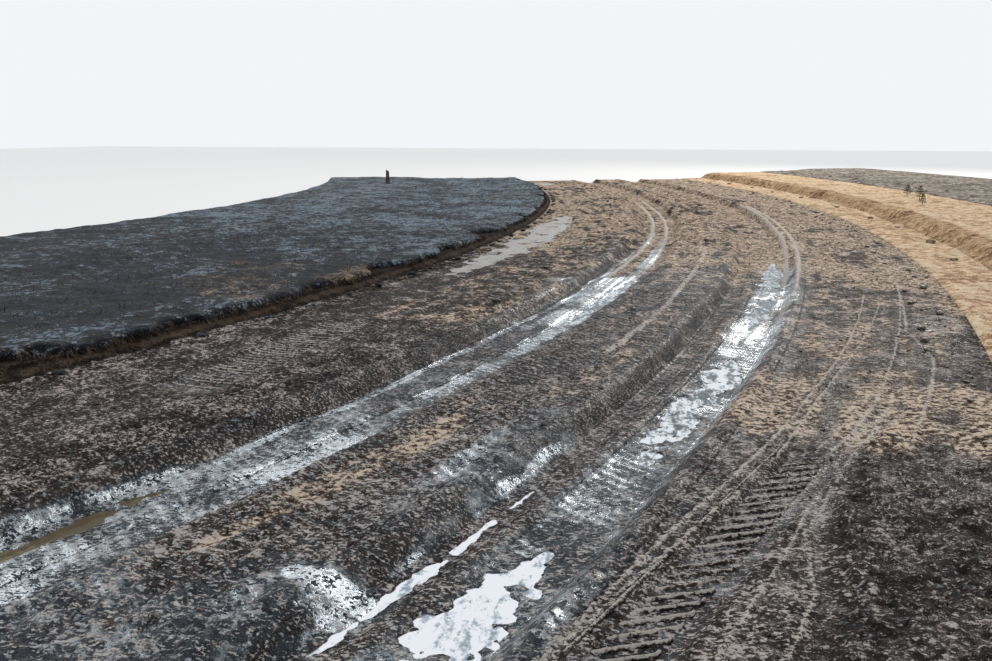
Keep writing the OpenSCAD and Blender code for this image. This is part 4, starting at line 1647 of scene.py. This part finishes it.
@dataclass
class Turf:
    """Turf of the left verge, with the bitten edge that its CAD node has, frayed."""

    pitch: float = 0.085
    stride: int = 2
    frayed: float = 0.030
    curl: float = 0.10
    near_edge: tuple[float, ...] = (0.26, 0.18, 0.11, 0.06, 0.03, 0.012, 0.0)

    def edge(self, ground: Ground, t: Array) -> Array:
        """Gives the station of the turf's edge at some angles, from the CAD node's bites.

        Args:
            ground: The height field.
            t: Angles.

        Returns:
            Stations of the edge.
        """
        s, angle, z = ground.bend.places("verge_left_turf")
        low = (np.abs(z - ground.z_soil) < 0.002) & (s > ground.scarp - 0.5)
        order = np.argsort(angle[low])
        along, arc = np.interp(t, angle[low][order], s[low][order]), ground.bend.arc(t)
        return along - self.frayed * (0.8 + Noise(97).layered(arc, np.zeros_like(arc), 0.35, 3))

    def build(self, ground: Ground, rows: Array) -> Object:
        """Makes the turf.

        Args:
            ground: The height field.
            rows: Angles of the rows.

        Returns:
            The finished piece.
        """
        t = thinned(rows, self.stride)
        edge = self.edge(ground, t)[:, None]
        near = np.array([self.near_edge])
        share = np.linspace(0, 1, round((ground.scarp - ground.inner) / self.pitch))[None]
        s = np.concatenate([ground.inner + share * (edge - 0.34 - ground.inner), edge - near], 1)
        tt = np.repeat(t[:, None], s.shape[1], 1)
        sample = ground.sample(np.minimum(s, ground.scarp - 0.06), tt)
        curl = 1 - np.sqrt(1 - (1 - np.clip((edge - s) / self.curl, 0, 1)) ** 2)
        z = np.maximum(sample.h - 0.75 * ground.turf_t * curl, ground.z_soil + 0.006)
        rise, (high, low) = ground.z_turf - ground.turf_t, ground.turf_knees()
        keel = [(ground.inner, rise), (high, rise), (low, ground.z_soil),
                (ground.scarp, ground.z_soil)]
        mesh = slab_mesh("verge_left_turf_ground", ground.bend, s, t, z, keel)
        write_marks(mesh, self.marks(ground, s, tt, sample))
        return settle(mesh, "frosted_turf", "verge_left_turf", finish=TURF)

    def marks(self, ground: Ground, s: Array, t: Array, sample: Sample) -> Array:
        """Marks where the grass is dry and tan.

        Args:
            ground: The height field.
            s: Stations.
            t: Angles.
            sample: The ground there.

        Returns:
            The marks as colours.
        """
        patch = Noise(101).layered(*ground.bend.xy(s, t), 1.6, 3)
        near_edge, far_back = step(s, -4.0, -3.6), between(s, -4.9, -3.6, 0.5)
        dry = np.maximum.reduce([near_edge * between(t, -12.8, -11.2, 0.8) * (0.75 + 0.6 * patch),
                                 far_back * between(t, -15.0, -12.0, 1.4) * (0.40 + 0.7 * patch),
                                 0.35 * step(t, 12.0, 20.0), 0.25 + 0.35 * patch])
        frost_and_shade = np.clip(0.2 + 0.9 * step(t, -14.0, -2.0) + 0.5 * patch, 0, 1)
        return np.stack([frost_and_shade, 0 * dry, np.clip(dry, 0, 1), sample.crest], -1)


# ---------------------------------------------------------------- scattered pieces


class Shape(Enum):
    """What a scattered piece looks like."""

    LUMP = "lump"
    BLADE = "blade"


@dataclass
class Scatter:
    """Pieces of one shape set on the ground at given places by Geometry Nodes."""

    name: str
    shape: Shape
    finish: Material
    lumpiness: float = 0.0
    facets: int = 1
    bend: float = 0.35

    def _piece(self, group: Group) -> Sock:
        """Makes a rounded lump, or a tapered blade that curls sideways as it rises.

        Args:
            group: The node tree.

        Returns:
            The piece.
        """
        if self.shape is Shape.LUMP:
            facets = {"Subdivisions": self.facets}
            return group.node("GeometryNodeMeshIcoSphere", {}, facets, "Mesh")
        blade = group.node("GeometryNodeMeshCone", {}, {
            "Vertices": 3, "Side Segments": 2, "Radius Bottom": 1.0, "Radius Top": 0.05,
            "Depth": 1.0}, "Mesh")
        up = group.split(group.node("GeometryNodeInputPosition", {}, {}))[2]
        aside = group.node("ShaderNodeCombineXYZ", {}, {0: up * up * group.given("Bend")})
        return group.node("GeometryNodeSetPosition", {}, {"Geometry": blade, "Offset": aside})

    def _tree(self) -> NodeTree:
        """Makes the node tree that sets a piece on each point.

        Returns:
            The node tree.
        """
        group = Group(self.name + "_scatter", Lumpiness="Float", Bend="Float")
        turn, size = (group.node("GeometryNodeInputNamedAttribute", {"data_type": "FLOAT_VECTOR"},
                                 {"Name": label}, "Attribute") for label in ("turn", "size"))
        put = group.node("GeometryNodeInstanceOnPoints", {}, {
            "Points": group.given("Geometry"), "Instance": self._piece(group),
            "Rotation": turn, "Scale": size})
        real = group.node("GeometryNodeRealizeInstances", {}, {"Geometry": put})
        noise = group.node("ShaderNodeTexNoise", {}, {"Scale": 16.0}, "Color")
        centred = group.node("ShaderNodeVectorMath", {"operation": "SUBTRACT"},
                             {0: noise, 1: (0.5, 0.5, 0.5)})
        stray = group.node("ShaderNodeVectorMath", {"operation": "SCALE"},
                           {0: centred, "Scale": group.given("Lumpiness")})
        lumpy = group.node("GeometryNodeSetPosition", {}, {"Geometry": real, "Offset": stray})
        return group.close(lumpy, self.finish)

    def build(self, places: Array, sizes: Array, turns: Array, slot: str, *nodes: str) -> Object:
        """Sets the pieces.

        Args:
            places: Points, as x, y and z.
            sizes: Scales along the piece's three axes.
            turns: Euler angles in radians.
            slot: The record's material slot.
            nodes: CAD nodes that the pieces stand for.

        Returns:
            All the pieces as one mesh.
        """
        cloud = bpy.data.meshes.new(self.name + "_points")
        cloud.from_pydata(places.tolist(), [], [])
        for label, values in (("size", sizes), ("turn", turns)):
            layer = cloud.attributes.new(label, "FLOAT_VECTOR", "POINT")
            layer.data.foreach_set("vector", values.astype(float).ravel())
        mesh = run_nodes(add_object(self.name + "_points", cloud), self._tree(),
                         {"Lumpiness": self.lumpiness, "Bend": self.bend})
        mesh.name = self.name
        if self.shape is Shape.LUMP:
            mesh.shade_smooth()
        return settle(mesh, slot, *nodes)


@dataclass
class Sower:
    """Picks repeatable places on the ground for scattered pieces."""

    ground: Ground
    seed: int

    def __post_init__(self) -> None:
        """Starts the sower's own row of random numbers."""
        self.rng = np.random.default_rng(self.seed)

    def patch(self, count: int, s: Pair, t: Pair) -> tuple[Array, Array]:
        """Spreads places over a patch, closer together towards its near end."""
        return self.rng.uniform(*s, count), t[0] + (t[1] - t[0]) * self.rng.random(count) ** 1.5

    def on_ground(self, s: Array, t: Array, lift: Array | float = 0.0) -> Array:
        """Gives the points of some places on the ground."""
        return np.stack([*self.ground.bend.xy(s, t), self.ground.sample(s, t).h + lift], -1)

    def turns(self, count: int, tilt: float) -> Array:
        """Gives random turns about the upright, and tilts up to a limit."""
        return np.stack([self.rng.normal(0, tilt, count), self.rng.normal(0, tilt, count),
                         self.rng.uniform(0, 2 * math.pi, count)], -1)

    def blades(self, length: Array, radius: float) -> Array:
        """Gives the scales of some blades."""
        return np.stack([np.full_like(length, radius), np.full_like(length, radius), length], -1)

    def lumps(self, node: str, name: str, finish: Material, slot: str, lumpiness: float) -> None:
        """Sets broken lumps at the places of a node's solids.

        Args:
            node: The CAD node.
            name: Name of the piece.
            finish: Its material.
            slot: The record's material slot.
            lumpiness: How far the lumps stray from round.
        """
        rows = self.ground.bend.lumps(node)
        r, low, high = rows[:, 2], rows[:, 3], rows[:, 4]
        x, y = self.ground.bend.xy(rows[:, 0], rows[:, 1])
        places = np.stack([x, y, (low + high) / 2 - 0.004], -1)
        sizes = np.stack([r * 0.95, r * self.rng.uniform(0.75, 0.95, len(r)), (high - low) / 2], -1)
        Scatter(name, Shape.LUMP, finish, lumpiness, facets=2).build(
            places, sizes, self.turns(len(r), 0.1), slot, node)

    def crumbs(self, name: str, count: int, zone: Pair) -> None:
        """Strews crumbs of mud between two stations.

        Args:
            name: Name of the piece.
            count: Number of crumbs.
            zone: The two stations.
        """
        s, t = self.patch(count, zone, (-24.6, 8.0))
        r = 0.006 + 0.018 * self.rng.random(count) ** 3
        wide, flat = self.rng.uniform(0.7, 1.0, count), self.rng.uniform(0.5, 0.8, count)
        sizes = np.stack([r, r * wide, r * flat], -1)
        Scatter(name, Shape.LUMP, CLOD_MUD, lumpiness=0.02).build(
            self.on_ground(s, t), sizes, self.turns(count, 0.3), "churned_mud")

    def tufts(self, node: str, each: int = 46) -> None:
        """Sets tufts of blades at the places of a node's solids.

        Args:
            node: The CAD node.
            each: Number of blades in a tuft.
        """
        rows = self.ground.bend.lumps(node)
        s, t, r, z = (np.repeat(rows[:, k], each) for k in range(4))
        turn, away = self.rng.uniform(0, 2 * math.pi, len(s)), self.rng.random(len(s)) ** 0.7
        x, y = self.ground.bend.xy(s, t)
        turns = np.stack([0 * s, 0.15 + 0.9 * away, turn], -1)
        places = np.stack([x + 0.4 * r * away * np.cos(turn), y + 0.4 * r * away * np.sin(turn),
                           z - 0.004], -1)
        sizes = self.blades(r * self.rng.uniform(0.5, 1.0, len(s)), 0.0032)
        Scatter(node + "_blades", Shape.BLADE, GRASS).build(places, sizes, turns, "dry_grass", node)


@dataclass
class LeftSide:
    """Blades, roots, sods, tufts and the stump of the left verge."""

    ground: Ground
    rings: int = 30
    around: int = 48

    def build(self) -> None:
        """Makes the pieces."""
        ground = self.ground
        sower = Sower(ground, 11)
        s, t = sower.patch(5400, (ground.scarp - 3.6, ground.scarp - 0.08), (-24.8, 24.8))
        length = sower.rng.uniform(0.03, 0.10, len(s))
        Scatter("verge_left_blades", Shape.BLADE, FROST_AND_SHADE_BLADES).build(
            sower.on_ground(s, t, -0.004), sower.blades(length, 0.0038),
            sower.turns(len(s), 0.7), "dry_grass")
        self._fringe(sower)
        sower.lumps("sods_left", "sods_left_torn", TORN_TURF, "frosted_turf", 0.05)
        sower.tufts("tufts_left")
        self._stump()

    def _fringe(self, sower: Sower) -> None:
        """Hangs roots and blades over the scarp along the turf's edge.

        Args:
            sower: Picks the places.
        """
        ground, n = self.ground, 3500
        t = -24.9 + 49.8 * sower.rng.random(n) ** 1.35
        s = Turf().edge(ground, t) - sower.rng.uniform(-0.004, 0.03, n)
        z = ground.z_soil + sower.rng.uniform(0.008, 0.055, n)
        lean, turn = sower.rng.uniform(1.8, 2.8, n), np.radians(t) + sower.rng.normal(0, 0.5, n)
        Scatter("scarp_left_roots", Shape.BLADE, ROOTS, bend=0.2).build(
            np.stack([*ground.bend.xy(s, t), z], -1),
            sower.blades(sower.rng.uniform(0.05, 0.15, n), 0.0045),
            np.stack([0 * lean, lean, turn], -1), "dry_grass")

    def _stump(self) -> None:
        """Makes the stump, with split bark and a splintered, slanting top."""
        low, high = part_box("stump_left")
        centre, height, foot = (low + high) / 2, high.z - low.z, (high.x - low.x) / 2
        a, u = np.meshgrid(np.linspace(0, 2 * math.pi, self.around, endpoint=False),
                           np.linspace(0, 1, self.rings))
        r = foot * np.interp(u, (0, 0.1, 0.28, 1), (1, 0.68, 0.54, 0.46))
        r = r * (0.95 + 0.05 * np.cos(5 * a + 1) * (1 - u))
        split = Noise(113).layered(np.cos(a) * 2, np.sin(a) * 2, 0.5, 3)
        splinter = np.clip(split, 0, 1) * step(u, 0.6, 1)
        z = low.z + height * u * (1 - 0.14 * (1 + np.cos(a)) / 2) * (1 - 0.12 * splinter)
        co = np.stack([centre.x + r * np.cos(a), centre.y + r * np.sin(a), z], -1).reshape(-1, 3)
        index = np.arange(len(co)).reshape(self.rings, self.around)
        after, hub = np.roll(index, -1, 1), len(co)
        faces = np.stack([index[:-1], after[:-1], after[1:], index[1:]], -1).reshape(-1, 4).tolist()
        faces += [[int(p), int(q), hub] for p, q in zip(index[-1], after[-1])]
        faces.append(index[0, ::-1].tolist())
        mesh = bpy.data.meshes.new("stump_left_bark")
        heart = (centre.x, centre.y, float(z[-1].min()) - 0.015)
        mesh.from_pydata([*co.tolist(), heart], [], faces)
        settle(mesh, "bark", "stump_left", finish=BARK)


@dataclass
class RightSide:
    """Stones, tufts, straw and pine seedlings on the sand."""

    ground: Ground
    needles: int = 560

    def build(self) -> None:
        """Makes the pieces."""
        ground = self.ground
        sower = Sower(ground, 43)
        sower.lumps("stones_right", "stones_right_field", STONE, "field_stone", 0.03)
        sower.tufts("tufts_right")
        s, t = sower.patch(3800, (ground.litter + 0.1, ground.outer - 0.1), (-24.6, 24.6))
        turns = np.stack([np.full(len(s), math.pi / 2) + sower.rng.normal(0, 0.12, len(s)), 0 * s,
                          sower.rng.uniform(0, 2 * math.pi, len(s))], -1)
        sizes = sower.blades(sower.rng.uniform(0.05, 0.16, len(s)), 0.0035)
        Scatter("verge_right_straw", Shape.BLADE, GRASS, bend=0.1).build(
            sower.on_ground(s, t, 0.040), sizes, turns, "dry_grass")
        self._seedlings(sower)

    def _seedlings(self, sower: Sower) -> None:
        """Makes the pine seedlings out of stems and whorls of needles.

        Args:
            sower: Picks the places.
        """
        places, sizes, turns = [], [], []
        for s, t, _, low, high in self.ground.bend.lumps("seedlings_right"):
            height = high - low
            foot = np.array([*self.ground.bend.xy(s, t), low])
            places.append(foot)
            sizes.append((height * 0.024, height * 0.024, height))
            turns.append((0.0, 0.0, 0.0))
            for _ in range(self.needles):
                level = math.floor(sower.rng.random() * 5) + sower.rng.random() * 0.55
                whorl = 0.15 + 0.80 * level / 5
                out = height * 0.30 * (1.05 - whorl) * sower.rng.random() ** 0.5
                turn, lean = sower.rng.uniform(0, 2 * math.pi), sower.rng.uniform(0.5, 1.3)
                rise = height * whorl * 0.88 + out * 0.3
                places.append(foot + (out * math.cos(turn), out * math.sin(turn), rise))
                sizes.append((0.0016, 0.0016, height * sower.rng.uniform(0.08, 0.13)))
                turns.append((0.0, lean, turn + sower.rng.normal(0, 0.5)))
        Scatter("seedlings_right_needles", Shape.BLADE, NEEDLES, bend=0.2).build(
            np.array(places), np.array(sizes), np.array(turns), "pine_needles", "seedlings_right")


# ---------------------------------------------------------------- prints and water


def swept_mesh(name: str, path: Array, widths: Array, heights: Array, profile: Array) -> Mesh:
    """Sweeps a cross-section along a level path.

    Args:
        name: Name of the mesh.
        path: Points along x and y.
        widths: Width at each point.
        heights: Height at each point.
        profile: Cross-section, as shares of the width and the height, from left to right.

    Returns:
        The closed mesh.
    """
    way = np.gradient(path, axis=0)
    way /= np.linalg.norm(way, axis=1)[:, None]
    across = profile[None, :, 0] * widths[:, None]
    co = np.stack([path[:, :1] + way[:, 1:] * across, path[:, 1:] - way[:, :1] * across,
                   profile[None, :, 1] * heights[:, None]], -1)
    rows, cols = co.shape[:2]
    index = np.arange(rows * cols).reshape(rows, cols)
    ring = np.concatenate([index, index[:, :1]], 1)
    a, b = ring[:-1], ring[1:]
    faces = np.stack([a[:, :-1], a[:, 1:], b[:, 1:], b[:, :-1]], -1).reshape(-1, 4).tolist()
    faces += [index[0, ::-1].tolist(), index[-1].tolist()]
    mesh = bpy.data.meshes.new(name)
    mesh.from_pydata(co.reshape(-1, 3).tolist(), [], faces)
    return mesh


def crest_marks(rise: Array, light: Array | float) -> Array:
    """Marks pressed mud as light along its crest, where the share of its height is near 1, a
    painted highlight on the top.
    """
    crest = 0.55 + 0.3 * rise + light * step(rise, 0.55, 0.90)
    return np.stack([0.45 + 0 * rise, 0 * rise, 0.12 + 0 * rise, crest], -1)[:, None]


ROUNDED = np.array([(-0.5, -0.1), (-0.42, 0.42), (-0.22, 0.82), (-0.02, 1.0), (0.14, 0.92),
                    (0.40, 0.40), (0.5, -0.1)])


@dataclass
class PrintBars:
    """Mud bars left between the lugs of a tyre, repeated along its print."""

    node: str
    spot: Print
    line: tuple[Pair, ...]
    pitch: float
    width: float
    height: float
    light: float
    seed: int
    fade: float = 0.0
    varied: tuple[Triple, Triple] = ((0.94, 0.96, 0.72), (1.04, 1.02, 1.0))

    def _bar(self) -> Mesh:
        """Makes one rounded bar along its line.

        Returns:
            The bar's mesh.
        """
        line = np.array(self.line)
        run = np.concatenate([[0], np.cumsum(np.hypot(*np.diff(line, axis=0).T))])
        u = np.linspace(0, run[-1], 16)
        path = np.stack([np.interp(u, run, line[:, 0]), np.interp(u, run, line[:, 1])], -1)
        taper = np.clip(np.minimum(u, run[-1] - u) / self.width * 1.4, 0.12, 1) ** 0.6
        widths, heights = self.width * taper, self.height * taper
        return swept_mesh(self.node + "_bar", path, widths, heights, ROUNDED)

    def _tree(self) -> NodeTree:
        """Makes the node tree that repeats the bar along the print.

        Returns:
            The node tree.
        """
        group = Group(self.node + "_repeat", Count="Int", Pitch="Float", Seed="Int")
        least, most = self.varied
        gap = group.node("ShaderNodeCombineXYZ", {}, {1: group.given("Pitch")})
        line = group.node("GeometryNodeMeshLine", {},
                          {"Count": group.given("Count"), "Offset": gap})
        scale = group.node("FunctionNodeRandomValue", {"data_type": "FLOAT_VECTOR"},
                           {0: least, 1: most, "Seed": group.given("Seed")})
        put = group.node("GeometryNodeInstanceOnPoints", {}, {
            "Points": line, "Instance": group.given("Geometry"), "Scale": scale})
        real = group.node("GeometryNodeRealizeInstances", {}, {"Geometry": put})
        return group.close(real, MUD)

    def build(self, ground: Ground) -> Object:
        """Makes all the bars of the print and crumbles them.

        Args:
            ground: The height field.

        Returns:
            The finished piece.
        """
        bar = self._bar()
        y = np.array([v.co.y for v in bar.vertices])
        count = int((self.spot.length - 2 * self.width - (y.max() - y.min())) / self.pitch) + 1
        mesh = run_nodes(add_object(self.node + "_bar", bar), self._tree(),
                         {"Count": count, "Pitch": self.pitch, "Seed": self.seed})
        co = np.zeros(len(mesh.vertices) * 3)
        mesh.vertices.foreach_get("co", co)
        co = co.reshape(-1, 3)
        shift = (y.max() + y.min()) / 2 + (count - 1) * self.pitch / 2
        x, y = self.spot.world(ground.bend, co[:, 0], co[:, 1] - shift)
        crumble = Noise(103).layered(x, y, 0.05, 3)
        x, y = x + 0.005 * crumble, y + 0.005 * Noise(107).layered(x, y, 0.05, 3)
        far = step(co[:, 1] - shift, 0.15 * self.spot.length, 0.38 * self.spot.length)
        z = ground.z_mud - self.spot.depth + co[:, 2] * (1 + 0.25 * crumble) * (1 - self.fade * far)
        mesh.vertices.foreach_set("co", np.stack([x, y, z], -1).ravel())
        # painted highlight along the bars' tops, fading towards the far end
        light = self.light * (1 - 2.2 * self.fade * far)
        write_marks(mesh, crest_marks(co[:, 2] / self.height, light))
        mesh.shade_smooth()
        mesh.name = self.node + "_crumbled"
        return settle(mesh, "churned_mud", self.node)


@dataclass
class PrintBerm:
    """Thin berm of mud pressed up beside the right print."""

    offset: float = -0.185
    width: float = 0.030
    height: float = 0.018

    def build(self, ground: Ground) -> Object:
        """Makes the berm.

        Args:
            ground: The height field.

        Returns:
            The finished piece.
        """
        v = np.linspace(-0.5, 0.5, 150) * PRINT_RIGHT.length
        wave = Noise(127).layered(v, 0 * v, 0.22, 3)
        path = np.stack(PRINT_RIGHT.world(ground.bend, self.offset + 0.006 * wave, v), -1)
        ends = np.clip((0.5 * PRINT_RIGHT.length - np.abs(v)) / 0.1, 0.1, 1)
        widths = self.width * (0.95 + 0.05 * wave) * ends
        heights = self.height * (0.85 + 0.3 * wave) * ends
        mesh = swept_mesh("print_berm_right_pressed", path, widths, heights, ROUNDED)
        co = np.array([vertex.co for vertex in mesh.vertices])
        # painted highlight along the berm's top
        write_marks(mesh, crest_marks(co[:, 2] / self.height, 0.8))
        crumble = Noise(131).layered(co[:, 0], co[:, 1], 0.04, 2)
        co[:, 2] += ground.z_mud + 0.2 * self.height * crumble
        mesh.vertices.foreach_set("co", co.ravel())
        mesh.shade_smooth()
        return settle(mesh, "churned_mud", "print_berm_right", finish=MUD)


@dataclass
class Water:
    """Sheets of standing water, a little wider than their hollows, so the mud makes the shore."""

    ground: Ground
    widen: float = 0.05
    points: int = 40

    def finish(self, puddle: Puddle) -> Material:
        """Picks a puddle's finish.

        Args:
            puddle: The puddle.

        Returns:
            Its material.
        """
        if puddle.slot == "turbid_water":
            return TURBID
        if puddle.lane is Lane.FOOT:
            return CLOUDED
        if puddle.start > -13.0:
            return SHALLOW
        return BROKEN if puddle.start > -18.0 else CLEAR

    def build(self, puddle: Puddle) -> Object:
        """Makes one puddle.

        Args:
            puddle: The puddle.

        Returns:
            The finished piece.
        """
        ground, bend = self.ground, self.ground.bend
        centre, width = ground.lane(puddle.lane)
        spare = math.degrees(self.widen / bend.crown_r)
        u = (1 - np.cos(np.linspace(0, math.pi, self.points))) / 2
        t = puddle.start - spare + u * (puddle.end - puddle.start + 2 * spare)
        half = (width / 2 + self.widen * 0.5) * np.sqrt(np.sin(np.pi * np.clip(u, 0.002, 0.998)))
        level = (ground.z_mud if puddle.lane is Lane.FOOT else ground.z_floor) - ground.water_drop
        shore = np.concatenate([centre + half, (centre - half)[::-1]])
        x, y = bend.xy(shore, np.concatenate([t, t[::-1]]))
        n, ring = len(x), np.arange(len(x))
        drops = (0, ground.pool_depth - ground.water_drop)
        co = np.concatenate([np.stack([x, y, np.full(n, level - drop)], -1) for drop in drops])
        after = np.roll(ring, -1)
        sides = np.stack([ring, ring + n, after + n, after], -1)
        faces = [ring.tolist(), (ring[::-1] + n).tolist(), *sides.tolist()]
        mesh = bpy.data.meshes.new(puddle.node + "_sheet")
        mesh.from_pydata(co.tolist(), [], faces)
        return settle(mesh, puddle.slot, puddle.node, finish=self.finish(puddle))


# ---------------------------------------------------------------- studio


@dataclass
class Studio:
    """Pale floor, soft lamps and a pale background."""

    floor_size: float = 160.0
    backdrop: float = 0.93
    ambient: float = 0.48

    def build(self) -> None:
        """Makes the floor, the world and the lamps."""
        half = self.floor_size / 2
        mesh = bpy.data.meshes.new("studio_floor")
        corners = [(-half, -half, 0), (half, -half, 0), (half, half, 0), (-half, half, 0)]
        mesh.from_pydata(corners, [], [(0, 1, 2, 3)])
        m = Shader("studio_floor")
        for key, value in (("Base Color", (0.35, 0.35, 0.35, 1)), ("Roughness", 0.9),
                           ("Emission Color", (1.0, 1.0, 1.0, 1)), ("Emission Strength", 0.55)):
            m.principled.inputs[key].default_value = value
        mesh.materials.append(m.material)
        add_object("studio_floor", mesh)
        self._world()
        self._lamp("key_lamp", (12.0, 30.0, 19.0), size=14.0, power=6200.0, tint=(1.0, 0.95, 0.88))
        self._lamp("fill_lamp", (-16.0, -22.0, 20.0), size=22.0, power=1500.0,
                   tint=(0.90, 0.95, 1.0))
        bpy.context.scene.view_settings.view_transform = "Standard"

    def _world(self) -> None:
        """Makes a plain world that looks pale to the camera and in reflections."""
        world = bpy.data.worlds.new("studio")
        bpy.context.scene.world = world
        world.use_nodes = True
        nodes, links = world.node_tree.nodes, world.node_tree.links
        plain = nodes["Background"]
        plain.inputs[0].default_value = (0.93, 0.96, 1.0, 1)
        plain.inputs[1].default_value = self.ambient
        pale = nodes.new("ShaderNodeBackground")
        pale.inputs[0].default_value = (0.96, 0.98, 1.0, 1)
        pale.inputs[1].default_value = self.backdrop
        path, blend = nodes.new("ShaderNodeLightPath"), nodes.new("ShaderNodeMixShader")
        seen, both = nodes.new("ShaderNodeMath"), nodes.new("ShaderNodeMath")
        seen.operation = both.operation = "MAXIMUM"
        links.new(path.outputs["Is Camera Ray"], seen.inputs[0])
        links.new(path.outputs["Is Glossy Ray"], seen.inputs[1])
        links.new(seen.outputs[0], both.inputs[0])
        links.new(path.outputs["Is Transmission Ray"], both.inputs[1])
        links.new(both.outputs[0], blend.inputs[0])
        links.new(plain.outputs[0], blend.inputs[1])
        links.new(pale.outputs[0], blend.inputs[2])
        links.new(blend.outputs[0], nodes["World Output"].inputs[0])

    def _lamp(self, name: str, spot: Triple, size: float, power: float, tint: Colour) -> None:
        """Hangs one soft lamp that looks at the middle of the section.

        Args:
            name: Name of the lamp.
            spot: Where it hangs.
            size: Width of its disk.
            power: Power in watts.
            tint: Colour of its light.
        """
        data = bpy.data.lights.new(name, "AREA")
        data.shape, data.size, data.energy, data.color = "DISK", size, power, tint
        lamp = bpy.data.objects.new(name, data)
        lamp.location = spot
        towards = Vector((0, 0, 0.5)) - Vector(spot)
        lamp.rotation_euler = towards.to_track_quat("-Z", "Y").to_euler()
        bpy.context.collection.objects.link(lamp)


def dress_base() -> None:
    """Gives the CAD nodes that stay their own materials."""
    for node, finish in (("subsoil_slab", SUBSOIL), ("roadbed_sand", PACKED),
                         ("verge_left_soil", SOIL)):
        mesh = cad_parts[node].data
        mesh.materials.clear()
        mesh.materials.append(finish)


def strips(ground: Ground) -> list[Strip]:
    """Lists the strips of ground from the scarp to the litter.

    Args:
        ground: The height field.

    Returns:
        The strips, from left to right.
    """
    bed, sub, rib = ground.z_bed, float(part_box("subsoil_slab")[1].z), ground.z_floor - 0.05
    return [
        Strip("scarp_left", "topsoil", SOIL, 0.016, bed),
        Strip("shoulder_left", "churned_mud", MUD, 0.024, bed),
        Strip("churned_left", "churned_mud", MUD, 0.017, bed),
        Strip("berm_left_outer", "churned_mud", MUD, 0.013, bed),
        Floor("rut_bed_left", "wet_mud", WET_MUD, 0.013, bed),
        Strip("rut_rib_left", "wet_mud", WET_MUD, 0.012, rib),
        Strip("berm_left_inner", "churned_mud", MUD, 0.012, bed),
        Strip("ridge_centre", "churned_mud", MUD, 0.014, bed),
        Strip("berm_right_inner", "churned_mud", MUD, 0.011, bed),
        Floor("rut_bed_right", "wet_mud", WET_MUD, 0.0125, bed),
        Strip("rut_rib_right", "wet_mud", WET_MUD, 0.011, rib),
        Strip("berm_right_outer", "churned_mud", MUD, 0.011, bed),
        Strip("shoulder_right", "churned_mud", MUD, 0.0145, bed),
        Strip("sand_path_right", "loose_sand", LOOSE, 0.030, sub),
        Strip("sand_bank_right", "orange_sand", ORANGE, 0.025, sub),
        Strip("verge_right_sand", "loose_sand", LOOSE, 0.080, sub, stride=3),
        Litter("verge_right_litter", "straw_litter", LITTER, 0.085, ground.z_sand, stride=3),
    ]


def main() -> None:
    """Builds every piece in order."""
    logging.basicConfig(level=logging.INFO, format="%(name)s: %(message)s")
    bend, eye = Bend(), PhotoCamera()
    spacing = Rows(bend, eye)
    ground, rows = Ground(bend, spacing), spacing.angles()
    LOG.info("%d rows", len(rows))
    eye.build(ground.z_mud)
    Studio().build()
    dress_base()
    for strip in strips(ground):
        strip.build(ground, rows)
    Turf().build(ground, rows)
    for puddle in PUDDLES:
        Water(ground).build(puddle)
    PrintBars("print_bars_right", PRINT_RIGHT,
              line=((-0.139, -0.1686), (0.059, 0.0716), (0.059, 0.1166)), pitch=0.097,
              width=0.024, height=0.033, light=1.0, seed=3, fade=0.30).build(ground)
    PrintBars("print_bars_left", PRINT_LEFT,
              line=((-0.254, 0.0183), (-0.085, 0.0), (0.085, 0.0183), (0.254, 0.055)),
              pitch=0.060, width=0.024, height=0.026, light=0.75, seed=5).build(ground)
    PrintBerm().build(ground)
    for side, zone, crumbs, seed in (("left", (-2.6, -1.35), 700, 61),
                                     ("ridge", (-0.42, 0.42), 450, 63),
                                     ("right", (1.45, 2.85), 900, 67)):
        sower = Sower(ground, seed)
        sower.lumps("clods_" + side, f"clods_{side}_broken", CLOD_MUD, "churned_mud", 0.03)
        sower.crumbs("crumbs_" + side, crumbs, zone)
    LeftSide(ground).build()
    RightSide(ground).build()


if __name__ == "__main__":
    main()
